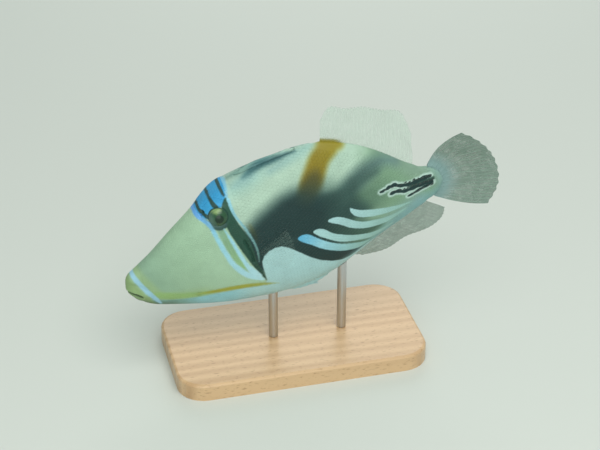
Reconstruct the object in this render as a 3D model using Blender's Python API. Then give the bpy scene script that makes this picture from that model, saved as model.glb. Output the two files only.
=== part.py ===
"""A picasso triggerfish, life size, swimming slightly head down on a plain display stand.

All sizes below are millimetres and angles are degrees. The fish is drawn in its own frame: x runs
back from the snout along the body, y is positive to the fish's right and z is up. The fish_pose
empty then lowers the head, and mesh_object turns millimetres into metres.
"""
import math
import random

import bmesh
import bpy
import numpy as np
from mathutils import Matrix, Vector

# Driving dimensions
MM = 0.001
GAP = 0.3
CREASE = 30.0
BODY_LENGTH = 167.0
HEAD_DOWN = 13.5
HEAD_END = 65.5
TRUNK_END = 131.0

# Outline of the body from the side, as stations along the fish
BACK = [(0, 4.5), (7, 8), (17, 13.6), (28, 21), (40, 28.4), (52, 36), (62, 40), (77, 42.7), (94, 44),
        (107, 43.3), (120, 38.3), (134, 29.5), (145, 19.7), (154, 12), (160, 9.8), (167, 9.5)]
BELLY = [(0, -6.7), (7, -13.2), (17, -18.2), (30, -23), (45, -27.6), (60, -30.6), (77, -32.6),
         (90, -32.4), (104, -30), (117, -24.8), (130, -19), (144, -14), (154, -10.3), (160, -9.1),
         (167, -9)]
HALF_WIDTH = [(0, 3), (7, 4.7), (17, 6.5), (30, 8.7), (45, 11), (58, 12.5), (72, 13.4), (87, 12.9),
              (104, 11.2), (120, 8.9), (137, 6.2), (150, 4.2), (160, 3), (167, 2.3)]
WIDEST = [(0, 1.6), (60, 4.6), (100, 5.5), (120, 6), (150, 3), (167, 0.5)]
SHOULDER = [(0, 2.2), (34, 2.2), (45, 2.6), (53, 3.3), (62, 2.9), (74, 2.4), (92, 2.1), (125, 1.9),
            (167, 2)]
UNDERSIDE = 2.2
NOSE_ROUND = 3.7
NOSE_STATIONS = [0.12, 0.5, 1.1, 1.9]
RING_POINTS = 48

# Head
MOUTH = [(-3, -1.6), (1.0, -2.8), (3.6, -4.6), (5.8, -6.8)]
MOUTH_GAP = 0.7
MOUTH_CUT_HALF = 20.0
LIP_HEIGHT = 1.15
LIP_REACH = 2.4
LIP_FOLD = 0.3
LIP_FOLD_AT = 4.6
EYE_X = 53.0
EYE_Z = 27.2
EYE_RADIUS = 5.6
EYE_DEPTH = 2.8
BROW = [(47, 34), (58, 37)]
BROW_HEIGHT = 0.5
BROW_REACH = 3.0
NOSTRILS = [(45.4, 29.0), (47.0, 30.4)]
NOSTRIL_RADIUS = 0.55
NOSTRIL_DEPTH = 1.4
GILL_SLIT = [(61.6, 10.5), (62.6, 6), (63.2, 1.5), (63.1, -3)]
GILL_WIDTH = 0.6
GILL_END_WIDTH = 0.36
GILL_DEPTH = 1.6
GILL_LEAN = 0.5

# Folded first dorsal fin, in its groove on the back: the keel's outline is given as shares of its
# half width and height, and each spine as its root, length, radius and sideways place
CREST_START = 66.5
CREST_END = 98.5
CREST_HALF_WIDTH = 1.7
CREST_DEPTH = 3.0
CREST_CROWN = 0.7
CREST_POINT = 3.5
CREST_STEP = 2.6
CREST_SHAPE = [(0.6, 0), (1, 0.25), (1, 0.85), (0.35, 1)]
CREST_SPINES = [(70, 24, 1.3, 0), (74, 15, 0.7, 0.95), (79, 8, 0.55, -0.85)]
CREST_SPINE_SINK = 0.9
CREST_SPINE_RISE = 0.75

# Soft dorsal and anal fins: base from and to, then along the base from front to rear the rays'
# lengths, their lean to the right and their sweep back from square to the body
DORSAL_BASE = (111.5, 153.5)
DORSAL_RAYS = 25
DORSAL_LENGTH = [(0, 11), (0.06, 16.5), (0.2, 18.5), (0.5, 20.5), (0.8, 24), (0.92, 24), (1, 16)]
DORSAL_LEAN = [(0, 8), (0.4, 14), (0.75, 28), (1, 32)]
DORSAL_SWEEP = (17, 22)
ANAL_BASE = (113.5, 155)
ANAL_RAYS = 22
ANAL_LENGTH = [(0, 9), (0.08, 14.5), (0.3, 19), (0.6, 21), (0.85, 21), (1, 14.5)]
ANAL_LEAN = [(0, 26), (0.4, 20), (0.7, 14), (1, 12)]
ANAL_SWEEP = (38, 45)
FIN_HEIGHTS = (0, 0.14, 0.4, 0.7, 1)
FIN_NOTCH = 0.97
FIN_SEAT = 0.1

# Tail fin: it grows from the rounded end of the body, is tilted up and bends to the left, more so
# at the top
TAIL_ARC = 9.6
TAIL_ARC_ANGLES = (14, 27, 40, 52, 63, 73, 82)
TAIL_RAYS = 12
TAIL_LENGTH = 28.7
TAIL_ROOT_SPREAD = 68.0
TAIL_SPREAD = 32.0
TAIL_CURL = 34.0
TAIL_TILT = 8.0
TAIL_BEND = 29.0
TAIL_TWIST = 12.0
TAIL_HEIGHTS = (0, 0.1, 0.3, 0.5, 0.75, 1)
TAIL_FORK = 0.4
TAIL_NOTCH = 0.985
TAIL_SEAT = 0.15

# Paired fins
PECTORAL_ROOT = [(67.4, 2.2), (68.8, -5.0)]
PECTORAL_RAYS = 13
PECTORAL_LENGTH = 19.0
PECTORAL_LOW_SHARE = 0.58
PECTORAL_OPEN = 24.0
PECTORAL_UP = 34.0
PECTORAL_FAN = 62.0
PECTORAL_HEIGHTS = (0, 0.15, 0.4, 0.7, 1)
PECTORAL_NOTCH = 0.96
PECTORAL_ROOT_HALF = 0.8
PELVIC_START = 76.0
PELVIC_END = 100.0
PELVIC_DROP = 2.6
PELVIC_RIBS = 9
PELVIC_NOTCH = 0.93
PELVIC_HALVES = (1.0, 0.7, 0.3)
PELVIC_WEB_HALF = 0.5
PELVIC_SPINES = 5
PELVIC_SPINE_START = 86.5
PELVIC_SPINE_STEP = 1.1
PELVIC_SPINE_REACH = (1.6, 1.1, -1.2)
PELVIC_SPINE_RADIUS = 0.5

# Rows of small hooked spines on the tail base: height from and to, start, end and count
SPINE_ROWS = [((8.4, 5.2), (134, 161), 10), ((5.0, 2.3), (139.5, 161.5), 8),
              ((-0.6, 0.0), (147.5, 160.5), 5)]
SPINE_LENGTH = 2.0
SPINE_RADIUS = 0.62
SPINE_SINK = 0.9
SPINE_RISE = 0.75
SPINE_BOW = 0.5
SPINE_SIZES = (0.75, 1.15)
SPINE_SCATTER_X = 0.3
SPINE_SCATTER_Z = 0.35

# Fin thickness
ROOT_HALF = 0.95
RAY_HALF = 0.55
WEB_HALF = 0.26

# Stand
STAND_LENGTH = 130.0
STAND_WIDTH = 70.0
STAND_HEIGHT = 9.0
STAND_CORNER = 14.0
STAND_CORNER_POINTS = 8
STAND_EDGE = 1.2
STAND_CENTRE = 87.0
CLEARANCE = 26.0
ROD_RADIUS = 2.4
ROD_SIDES = 16
ROD_SINK = 5.0
ROD_PLACES = {"stand_rod_front": 69.0, "stand_rod_rear": 107.0}


def curve_through(points):
    """A natural cubic spline through (station, value) pairs, as a function."""
    x = np.array([p[0] for p in points], float)
    y = np.array([p[1] for p in points], float)
    h = np.diff(x)
    count = len(x)
    system = np.eye(count)
    right = np.zeros(count)
    for i in range(1, count - 1):
        system[i, i - 1:i + 2] = (h[i - 1], 2 * (h[i - 1] + h[i]), h[i])
        right[i] = 6 * ((y[i + 1] - y[i]) / h[i] - (y[i] - y[i - 1]) / h[i - 1])
    bend = np.linalg.solve(system, right)

    def value(station):
        s = float(np.clip(station, x[0], x[-1]))
        i = int(np.clip(np.searchsorted(x, s) - 1, 0, count - 2))
        a = (x[i + 1] - s) / h[i]
        b = (s - x[i]) / h[i]
        cubic = ((a ** 3 - a) * bend[i] + (b ** 3 - b) * bend[i + 1]) * h[i] ** 2 / 6
        return float(a * y[i] + b * y[i + 1] + cubic)

    return value


back = curve_through(BACK)
belly = curve_through(BELLY)
half_width = curve_through(HALF_WIDTH)
widest = curve_through(WIDEST)
shoulder = curve_through(SHOULDER)


def rounding(depth, radius):
    """Share of the full height at a depth behind a round end."""
    return math.sqrt(max(1 - (1 - min(depth / radius, 1)) ** 2, 1e-4))


def section_sizes(x):
    """Top, bottom, half width, height of the widest point and upper exponent of the section at x."""
    top, bottom, wide, middle = back(x), belly(x), half_width(x), widest(x)
    nose = rounding(x, NOSE_ROUND)
    tail = rounding(BODY_LENGTH - x, TAIL_ARC)
    top = middle + (top - middle) * nose * tail
    bottom = middle + (bottom - middle) * nose * tail
    return top, bottom, wide * nose, middle, shoulder(x)


def section(x):
    """One ring of the body at station x."""
    top, bottom, wide, middle, upper = section_sizes(x)
    ring = []
    for i in range(RING_POINTS):
        angle = 2 * math.pi * i / RING_POINTS
        c, s = math.cos(angle), math.sin(angle)
        power = 2 / (upper if s >= 0 else UNDERSIDE)
        y = wide * math.copysign(abs(c) ** power, c)
        rise = top - middle if s >= 0 else middle - bottom
        ring.append(Vector((x, y, middle + rise * math.copysign(abs(s) ** power, s))))
    return ring


def flank_reach(x, z):
    """Distance from the midplane to the skin at (x, z)."""
    top, bottom, wide, middle, upper = section_sizes(x)
    rise = top - middle if z >= middle else middle - bottom
    power = upper if z >= middle else UNDERSIDE
    part = min(abs(z - middle) / rise, 1.0)
    return wide * (1 - part ** power) ** (1 / power)


def flank_point(x, z, side):
    """The skin at (x, z) on one side (-1 left, 1 right), and its outward direction."""
    step = 0.2
    slope_x = (flank_reach(x + step, z) - flank_reach(x - step, z)) / (2 * step)
    slope_z = (flank_reach(x, z + step) - flank_reach(x, z - step)) / (2 * step)
    outward = Vector((-slope_x, side, -slope_z)).normalized()
    return Vector((x, side * flank_reach(x, z), z)), outward


def stations(start, end, first, last):
    """Places from start to end whose steps grow evenly from first to last."""
    count = max(2, round(2 * (end - start) / (first + last)))
    steps = [first + (last - first) * i / (count - 1) for i in range(count)]
    scale = (end - start) / sum(steps)
    places = [start]
    for step in steps:
        places.append(places[-1] + step * scale)
    return places


def distance_to_path(x, z, path):
    """Distance in the side view from (x, z) to a line of points."""
    best = math.inf
    for (ax, az), (bx, bz) in zip(path, path[1:]):
        along = ((x - ax) * (bx - ax) + (z - az) * (bz - az)) / ((bx - ax) ** 2 + (bz - az) ** 2)
        along = min(max(along, 0), 1)
        best = min(best, math.hypot(x - ax - along * (bx - ax), z - az - along * (bz - az)))
    return best


def material(name, colour, roughness, metallic=0.0):
    shader = bpy.data.materials.new(name)
    shader.use_nodes = True
    principled = shader.node_tree.nodes["Principled BSDF"]
    principled.inputs["Base Color"].default_value = (*colour, 1)
    principled.inputs["Roughness"].default_value = roughness
    principled.inputs["Metallic"].default_value = metallic
    return shader


def mesh_object(name, points, faces, shader, parent):
    """A closed mesh from points in millimetres, with its faces turned outwards."""
    mesh = bpy.data.meshes.new(name)
    mesh.from_pydata([Vector(p) * MM for p in points], [], faces)
    work = bmesh.new()
    work.from_mesh(mesh)
    bmesh.ops.recalc_face_normals(work, faces=work.faces)
    work.to_mesh(mesh)
    work.free()
    mesh.materials.append(shader)
    shade(mesh)
    piece = bpy.data.objects.new(name, mesh)
    bpy.context.scene.collection.objects.link(piece)
    piece.parent = parent
    return piece


def shade(mesh):
    """Smooth shading that breaks at the edges of slits, caps and ridges."""
    mesh.shade_smooth()
    mesh.set_sharp_from_angle(angle=math.radians(CREASE))


def tube_faces(rings, points, start_tip, end_tip):
    """Faces of a tube of rings, closed at each end by a fan to one more point."""
    faces = []
    for r in range(rings - 1):
        for i in range(points):
            j = (i + 1) % points
            a, b = r * points, (r + 1) * points
            faces.append((a + i, a + j, b + j, b + i))
    last = (rings - 1) * points
    for i in range(points):
        j = (i + 1) % points
        faces.append((start_tip, j, i))
        faces.append((end_tip, last + i, last + j))
    return faces


def lofted(name, rings, start, end, shader, parent):
    """A closed solid through rings of equal length, fanned to a start and an end point."""
    points = [p for ring in rings for p in ring] + [start, end]
    count = len(rings[0])
    faces = tube_faces(len(rings), count, len(points) - 2, len(points) - 1)
    return mesh_object(name, points, faces, shader, parent)


def body_length_of(name, places, shader, parent):
    """The stretch of the body between the first and last place, closed at both ends."""
    rings = [section(x) for x in places]
    ends = [Vector((x, 0, widest(x))) for x in (places[0], places[-1])]
    return lofted(name, rings, ends[0], ends[1], shader, parent)


def cone(name, root, tip, radius, sides, shader, parent, bow=(0, 0, 0)):
    """A tapered spine from root to tip, bowed sideways at its middle."""
    root, tip, bow = Vector(root), Vector(tip), Vector(bow)
    along = (tip - root).normalized()
    across = along.orthogonal().normalized()
    rings = []
    for part, size in ((0, 1), (0.55, 0.66)):
        centre = root.lerp(tip, part) + bow * part
        turns = [Matrix.Rotation(2 * math.pi * i / sides, 3, along) @ across for i in range(sides)]
        rings.append([centre + turn * radius * size for turn in turns])
    return lofted(name, rings, root, tip, shader, parent)


def vane(name, centres, halves, shader, parent):
    """A thin closed fin from a grid of centre points, split into triangles alike on both faces."""
    columns, rows = len(centres), len(centres[0])
    front, rear = [], []
    for c in range(columns):
        for r in range(rows):
            along = centres[min(c + 1, columns - 1)][r] - centres[max(c - 1, 0)][r]
            out = centres[c][min(r + 1, rows - 1)] - centres[c][max(r - 1, 0)]
            normal = along.cross(out).normalized()
            front.append(centres[c][r] + normal * halves[c][r])
            rear.append(centres[c][r] - normal * halves[c][r])
    faces = []
    shift = columns * rows
    for c in range(columns - 1):
        for r in range(rows - 1):
            a, b = c * rows + r, (c + 1) * rows + r
            for face in ((a, b, b + 1), (a, b + 1, a + 1)):
                faces.append(face)
                faces.append(tuple(i + shift for i in reversed(face)))
    rim = [c * rows for c in range(columns)]
    rim += [(columns - 1) * rows + r for r in range(1, rows)]
    rim += [c * rows + rows - 1 for c in range(columns - 2, -1, -1)]
    rim += [r for r in range(rows - 2, 0, -1)]
    for i, j in zip(rim, rim[1:] + rim[:1]):
        faces.append((i, j, j + shift))
        faces.append((i, j + shift, i + shift))
    return mesh_object(name, front + rear, faces, shader, parent)


def combine(target, others, operation):
    """Joins other closed meshes to the target, or cuts them from it, and removes them."""
    group = bpy.data.collections.new("combined")
    for other in others:
        for holder in list(other.users_collection):
            holder.objects.unlink(other)
        group.objects.link(other)
    bpy.context.scene.collection.children.link(group)
    step = target.modifiers.new(operation.lower(), "BOOLEAN")
    step.operation = operation
    step.operand_type = "COLLECTION"
    step.collection = group
    step.solver = "EXACT"
    bpy.context.view_layer.update()
    shown = target.evaluated_get(bpy.context.evaluated_depsgraph_get())
    shaped = bpy.data.meshes.new_from_object(shown)
    target.modifiers.clear()
    old = target.data
    target.data = shaped
    bpy.data.meshes.remove(old)
    for other in others:
        bpy.data.objects.remove(other)
    bpy.data.collections.remove(group)
    keep_largest(target)
    shade(target.data)


def keep_largest(piece):
    """Drops every closed surface of the mesh but the one that encloses most."""
    work = bmesh.new()
    work.from_mesh(piece.data)
    left = set(work.verts)
    islands = []
    while left:
        island, reached = set(), [next(iter(left))]
        while reached:
            vert = reached.pop()
            if vert in island:
                continue
            island.add(vert)
            reached.extend(edge.other_vert(vert) for edge in vert.link_edges)
        left -= island
        faces = {face for vert in island for face in vert.link_faces}
        volume = sum(face.normal.dot(face.calc_center_median()) * face.calc_area() for face in faces)
        islands.append((volume, island))
    islands.sort(key=lambda entry: entry[0])
    scraps = [vert for volume, island in islands[:-1] for vert in island]
    bmesh.ops.delete(work, geom=scraps, context="VERTS")
    work.to_mesh(piece.data)
    work.free()


def swell_lips(head):
    """Raises both lips along the line of the mouth, with a fold behind them, and the brows."""
    work = bmesh.new()
    work.from_mesh(head.data)
    work.normal_update()
    moves = []
    for vert in work.verts:
        x, y, z = vert.co / MM
        away = distance_to_path(x, z, MOUTH)
        lip = LIP_HEIGHT * math.exp(-(away / LIP_REACH) ** 2)
        fold = LIP_FOLD * math.exp(-(away - LIP_FOLD_AT) ** 2)
        brow = BROW_HEIGHT * math.exp(-(distance_to_path(x, z, BROW) / BROW_REACH) ** 2)
        if x < HEAD_END - 1:
            moves.append((vert, vert.normal * (lip - fold + brow) * MM))
    for vert, move in moves:
        vert.co += move
    work.to_mesh(head.data)
    work.free()


def mouth_cutter(parent, shader):
    """A thin slot across the whole snout along the line of the mouth."""
    path = [Vector((x, 0, z)) for x, z in MOUTH]
    edge = []
    for i, point in enumerate(path):
        along = path[min(i + 1, len(path) - 1)] - path[max(i - 1, 0)]
        up = Vector((-along.z, 0, along.x)).normalized()
        edge.append((point + up * MOUTH_GAP / 2, point - up * MOUTH_GAP / 2))
    outline = [pair[0] for pair in edge] + [pair[1] for pair in reversed(edge)]
    rings = [[p + Vector((0, y, 0)) for p in outline] for y in (-MOUTH_CUT_HALF, MOUTH_CUT_HALF)]
    count = len(outline)
    faces = [tuple(range(count)), tuple(reversed(range(count, 2 * count)))]
    faces += [(i, (i + 1) % count, (i + 1) % count + count, i + count) for i in range(count)]
    return mesh_object("mouth_cutter", rings[0] + rings[1], faces, shader, parent)


def ball(name, centre, radius, pole, shader, parent, segments=16, rings=10):
    """A sphere whose poles lie along the given direction."""
    turn = pole.to_track_quat("Z", "Y").to_matrix()
    layers = []
    for r in range(1, rings):
        polar = math.pi * r / rings
        ring = []
        for i in range(segments):
            around = 2 * math.pi * i / segments
            out = math.sin(polar)
            spot = Vector((out * math.cos(around), out * math.sin(around), math.cos(polar)))
            ring.append(centre + turn @ spot * radius)
        layers.append(ring)
    top = turn @ Vector((0, 0, radius))
    return lofted(name, layers, centre + top, centre - top, shader, parent)


def eye_place(side):
    """Centre of an eyeball and the direction it looks in."""
    skin, outward = flank_point(EYE_X, EYE_Z, side)
    return skin - outward * EYE_DEPTH, outward


def nostril_cutters(parent, shader):
    cutters = []
    for side in (-1, 1):
        for x, z in NOSTRILS:
            skin, outward = flank_point(x, z, side)
            cutters.append(cone("nostril_cutter", skin + outward, skin - outward * NOSTRIL_DEPTH,
                                NOSTRIL_RADIUS, 8, shader, parent))
    return cutters


def gill_cutter(side, parent, shader):
    """A thin curved slab that opens the slit behind the gill cover."""
    rings = []
    for i, (x, z) in enumerate(GILL_SLIT):
        skin, outward = flank_point(x, z, side)
        inward = (outward * -1 + Vector((-GILL_LEAN, 0, 0))).normalized()
        width = GILL_END_WIDTH if i in (0, len(GILL_SLIT) - 1) else GILL_WIDTH
        half = Vector((width / 2, 0, 0))
        outer, inner = skin - inward * GILL_DEPTH / 2, skin + inward * GILL_DEPTH
        rings.append([outer - half, inner - half, inner + half, outer + half])
    ends = [sum(ring, Vector()) / 4 for ring in (rings[0], rings[-1])]
    return lofted("gill_cutter", rings, ends[0], ends[1], shader, parent)


def make_head(parent, shader):
    """Snout, lips, cheeks and gill covers, open at the mouth, nostrils, sockets and gill slits."""
    snout_end = 15
    places = NOSE_STATIONS + stations(2.8, snout_end, 1.1, 1.7)
    places += stations(snout_end, HEAD_END, 2.2, 2.9)[1:]
    rings = [section(x) for x in places]
    tip = Vector((0, 0, widest(0)))
    head = lofted("head", rings, tip, Vector((HEAD_END, 0, widest(HEAD_END))), shader, parent)
    swell_lips(head)
    sockets = []
    for side in (-1, 1):
        centre, outward = eye_place(side)
        sockets.append(ball("socket", centre, EYE_RADIUS + GAP, outward * side, shader, parent))
    slits = [gill_cutter(side, parent, shader) for side in (-1, 1)]
    cutters = [mouth_cutter(parent, shader)] + sockets + slits + nostril_cutters(parent, shader)
    combine(head, cutters, "DIFFERENCE")
    return head


def make_eyes(parent, shader):
    for side, name in ((-1, "eye_left"), (1, "eye_right")):
        centre, outward = eye_place(side)
        ball(name, centre, EYE_RADIUS, outward * side, shader, parent)


def crest_outline(x, extra):
    """Half width, floor and crown of the folded first dorsal fin at station x."""
    inside = min(x - CREST_START, CREST_END - x) + extra
    fade = min(max(inside / CREST_POINT, 0.02), 1) ** 0.5
    floor = back(x) - CREST_DEPTH * fade - extra
    return CREST_HALF_WIDTH * fade + extra, floor, back(x) + CREST_CROWN * fade


def crest_solid(name, extra, parent, shader):
    """The folded fin's keel, or with extra room around it the groove it lies in, open above."""
    rings = []
    for x in stations(CREST_START - extra, CREST_END + extra, CREST_STEP, CREST_STEP):
        wide, floor, crown = crest_outline(x, extra)
        tall = crown - floor + (CREST_DEPTH if extra else 0)
        outline = CREST_SHAPE + [(-across, up) for across, up in reversed(CREST_SHAPE)]
        rings.append([Vector((x, wide * across, floor + tall * up)) for across, up in outline])
    ends = [sum(ring, Vector()) / len(ring) for ring in (rings[0], rings[-1])]
    return lofted(name, rings, ends[0], ends[1], shader, parent)


def make_first_dorsal_fin(parent, shader):
    """Three spines folded back along the groove, with the membrane between them."""
    fin = crest_solid("first_dorsal_fin", 0, parent, shader)
    spines = []
    for x, length, radius, y in CREST_SPINES:
        root = Vector((x, y, back(x) - CREST_SPINE_SINK))
        tip = Vector((x + length, y * 0.5, back(x + length) + CREST_SPINE_RISE))
        spines.append(cone("spine", root, tip, radius, 8, shader, parent, bow=(0, 0, CREST_SPINE_SINK)))
    combine(fin, spines, "UNION")
    return fin


def make_trunk(parent, shader):
    trunk = body_length_of("trunk", stations(HEAD_END + GAP, TRUNK_END, 2.7, 2.9), shader, parent)
    combine(trunk, [crest_solid("groove", GAP, parent, shader)], "DIFFERENCE")
    return trunk


def make_tail_base(parent, shader):
    """The narrow end of the body, with three rows of forward-hooked spines on each side."""
    draw = random.Random(7)
    arc_start = BODY_LENGTH - TAIL_ARC
    places = stations(TRUNK_END + GAP, arc_start, 3, 2.4)
    places += [arc_start + TAIL_ARC * math.sin(math.radians(a)) for a in TAIL_ARC_ANGLES]
    piece = body_length_of("tail_base", places, shader, parent)
    spines = []
    for side in (-1, 1):
        for (high, low), (start, end), count in SPINE_ROWS:
            for i in range(count):
                part = i / (count - 1)
                x = start + (end - start) * part + draw.uniform(-SPINE_SCATTER_X, SPINE_SCATTER_X)
                z = high + (low - high) * part + draw.uniform(-SPINE_SCATTER_Z, SPINE_SCATTER_Z)
                size = SPINE_SIZES[0] + (SPINE_SIZES[1] - SPINE_SIZES[0]) * part
                skin, outward = flank_point(x, z, side)
                hook = Vector((-SPINE_LENGTH * size, 0, 0.2))
                spines.append(cone("spine", skin - outward * SPINE_SINK,
                                   skin + outward * SPINE_RISE * size + hook,
                                   SPINE_RADIUS * size, 5, shader, parent, bow=outward * SPINE_BOW))
    combine(piece, spines, "UNION")
    return piece


def fin_halves(columns, rows, root_rows=1):
    """Half thicknesses of a fin: a thick root, then ridges on the rays that thin to the edge."""
    halves = []
    for c in range(columns):
        column = []
        for r in range(rows):
            part = max(r - root_rows, 0) / (rows - 1 - root_rows)
            ridge = RAY_HALF + (WEB_HALF - RAY_HALF) * part
            if r < root_rows:
                column.append(ROOT_HALF if r == 0 else ROOT_HALF * 0.8)
            else:
                column.append(ridge if c % 2 == 0 else WEB_HALF)
        halves.append(column)
    return halves


def median_fin(name, base, edge, lengths, leans, sweeps, rays, direction, parent, shader):
    """A rayed fin along the back (direction 1) or the belly (-1), leaning to the fish's right."""
    length_at, lean_at = curve_through(lengths), curve_through(leans)
    columns = 2 * rays - 1
    centres = []
    for c in range(columns):
        part = c / (columns - 1)
        x = base[0] + (base[1] - base[0]) * part
        slope = edge(x + 0.5) - edge(x - 0.5)
        out = Vector((-slope, 0, 1)).normalized() * direction
        root = Vector((x, 0, edge(x))) + out * (GAP + FIN_SEAT)
        sweep = math.radians(sweeps[0] + (sweeps[1] - sweeps[0]) * part)
        ray = Vector((math.sin(sweep), 0, direction * math.cos(sweep)))
        length = length_at(part) * (1 if c % 2 == 0 else FIN_NOTCH)
        column = []
        for height in FIN_HEIGHTS:
            lean = math.radians(lean_at(part)) * min(1, height * 1.6)
            swing = ray * math.cos(lean) + Vector((0, math.sin(lean), 0))
            column.append(root + swing * length * height)
        centres.append(column)
    return vane(name, centres, fin_halves(columns, len(FIN_HEIGHTS), 2), shader, parent)


def make_tail_fin(parent, shader):
    """Twelve rays that fork halfway out, spread round the end of the body."""
    columns = 4 * TAIL_RAYS - 3
    centre = Vector((BODY_LENGTH - TAIL_ARC, 0, widest(BODY_LENGTH)))
    seat = TAIL_ARC + GAP + TAIL_SEAT
    centres, halves = [], []
    for c in range(columns):
        part = 2 * c / (columns - 1) - 1
        start = math.radians(TAIL_ROOT_SPREAD) * part
        angle = math.radians(TAIL_TILT + TAIL_SPREAD * part)
        bend = math.radians(TAIL_BEND + TAIL_TWIST * part)
        length = TAIL_LENGTH * (TAIL_NOTCH if c % 4 == 2 else 1)
        spot = centre + Vector((math.cos(start), 0, math.sin(start))) * seat
        last = 0
        column, half = [], []
        for r, height in enumerate(TAIL_HEIGHTS):
            middle = (height + last) / 2
            turn = bend * min(1, middle * 2)
            curved = angle + math.radians(TAIL_CURL) * part * (0.5 - middle)
            step = length * (height - last)
            ahead = step * math.cos(curved)
            rise = step * math.sin(curved)
            spot = spot + Vector((ahead * math.cos(turn), -ahead * math.sin(turn), rise))
            last = height
            column.append(spot)
            ridge = c % 4 in (1, 3) if height > TAIL_FORK else c % 4 == 0
            thin = RAY_HALF + (WEB_HALF - RAY_HALF) * max(height - 0.3, 0)
            if r < 2:
                half.append((ROOT_HALF, ROOT_HALF * 0.75)[r])
            else:
                half.append(thin if ridge else WEB_HALF)
        centres.append(column)
        halves.append(half)
    return vane("tail_fin", centres, halves, shader, parent)


def make_pectoral_fin(side, name, parent, shader):
    """A small fan whose root stands just off the flank behind the gill slit."""
    columns = 2 * PECTORAL_RAYS - 1
    (x0, z0), (x1, z1) = PECTORAL_ROOT
    opening = math.radians(PECTORAL_OPEN)
    shrink = 1 - PECTORAL_LOW_SHARE
    centres = []
    for c in range(columns):
        part = c / (columns - 1)
        skin, outward = flank_point(x0 + (x1 - x0) * part, z0 + (z1 - z0) * part, side)
        root = skin + outward * (GAP + PECTORAL_ROOT_HALF + 0.05)
        angle = math.radians(PECTORAL_UP - PECTORAL_FAN * part)
        length = PECTORAL_LENGTH * (1 - shrink * part ** 1.5) * (1 if c % 2 == 0 else PECTORAL_NOTCH)
        column = []
        for height in PECTORAL_HEIGHTS:
            lift = opening * (1 - 0.25 * height)
            ahead = math.cos(angle) * length * height
            column.append(root + Vector((ahead * math.cos(lift), side * ahead * math.sin(lift),
                                         math.sin(angle) * length * height)))
        centres.append(column)
    halves = fin_halves(columns, len(PECTORAL_HEIGHTS))
    halves = [[min(half, PECTORAL_ROOT_HALF) for half in column] for column in halves]
    return vane(name, centres, halves, shader, parent)


def make_pelvic_flap(parent, shader):
    """The low ribbed keel before the vent, with the blunt spiny tip of the pelvis in it."""
    columns = 2 * PELVIC_RIBS - 1
    root_half, rib_half, edge_half = PELVIC_HALVES
    centres, halves = [], []
    for c in range(columns):
        part = c / (columns - 1)
        x = PELVIC_START + (PELVIC_END - PELVIC_START) * part
        drop = PELVIC_DROP * math.sin(math.pi * (0.04 + 0.92 * part) ** 0.85) ** 0.8 + 0.5
        drop *= 1 if c % 2 == 0 else PELVIC_NOTCH
        root = Vector((x, 0, belly(x) - GAP - FIN_SEAT))
        centres.append([root + Vector((0.25, 0, -1)) * drop * height for height in (0, 0.5, 1)])
        halves.append([root_half, rib_half if c % 2 == 0 else PELVIC_WEB_HALF, edge_half])
    flap = vane("pelvic_flap", centres, halves, shader, parent)
    spines = []
    ahead, aside, down = PELVIC_SPINE_REACH
    for i in range(PELVIC_SPINES):
        x = PELVIC_SPINE_START + PELVIC_SPINE_STEP * i
        root = Vector((x, 0, belly(x) - 2.0 - 0.3 * i))
        for side in (-1, 1):
            tip = root + Vector((ahead, side * aside, down))
            spines.append(cone("spine", root, tip, PELVIC_SPINE_RADIUS, 5, shader, parent))
    combine(flap, spines, "UNION")
    return flap


def rounded_outline(length, width, corner):
    """Points round a rectangle with round corners, centred on the origin."""
    outline = []
    for turn, (sign_x, sign_y) in enumerate(((1, -1), (1, 1), (-1, 1), (-1, -1))):
        middle = Vector((sign_x * (length / 2 - corner), sign_y * (width / 2 - corner)))
        for i in range(STAND_CORNER_POINTS):
            angle = math.radians(-90 + 90 * turn + 90 * i / (STAND_CORNER_POINTS - 1))
            outline.append(middle + Vector((math.cos(angle), math.sin(angle))) * corner)
    return outline


def make_stand(root, pose, lowest, wood, steel):
    """A rounded base plate and two short rods that stop just short of the belly."""
    top = lowest - CLEARANCE
    bottom = top - STAND_HEIGHT
    centre = STAND_CENTRE - BODY_LENGTH / 2
    outline = rounded_outline(STAND_LENGTH, STAND_WIDTH, STAND_CORNER)
    levels = ((bottom, 0), (top - STAND_EDGE, 0), (top - STAND_EDGE * 0.3, STAND_EDGE * 0.3),
              (top, STAND_EDGE))
    rings = []
    for z, inset in levels:
        shrink_x, shrink_y = 1 - 2 * inset / STAND_LENGTH, 1 - 2 * inset / STAND_WIDTH
        rings.append([Vector((centre + spot.x * shrink_x, spot.y * shrink_y, z)) for spot in outline])
    lofted("stand_base", rings, Vector((centre, 0, bottom)), Vector((centre, 0, top)), wood, root)
    turns = [2 * math.pi * i / ROD_SIDES for i in range(ROD_SIDES)]
    for name, x in ROD_PLACES.items():
        spot = Vector((x - BODY_LENGTH / 2, 0, belly(x)))
        foot = Matrix.Rotation(math.radians(-HEAD_DOWN), 3, "Y") @ spot
        heights = (top + GAP, foot.z + ROD_SINK)
        rings = [[Vector((foot.x + ROD_RADIUS * math.cos(a), ROD_RADIUS * math.sin(a), z))
                  for a in turns] for z in heights]
        ends = [Vector((foot.x, 0, z)) for z in heights]
        rod = lofted(name, rings, ends[0], ends[1], steel, root)
        combine(rod, [swollen_trunk(pose, steel)], "DIFFERENCE")


def swollen_trunk(pose, shader):
    """The trunk with the gap all round it, which shapes the tops of the rods."""
    start = HEAD_END - 8
    rings = []
    for x in stations(start, TRUNK_END, 2.9, 2.9):
        grown = []
        for point in section(x):
            away = Vector((0, point.y, point.z - widest(x))).normalized()
            grown.append(point + away * GAP * 1.3)
        rings.append(grown)
    ends = [Vector((x, 0, widest(x))) for x in (start, TRUNK_END)]
    return lofted("swollen_trunk", rings, ends[0], ends[1], shader, pose)


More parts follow.
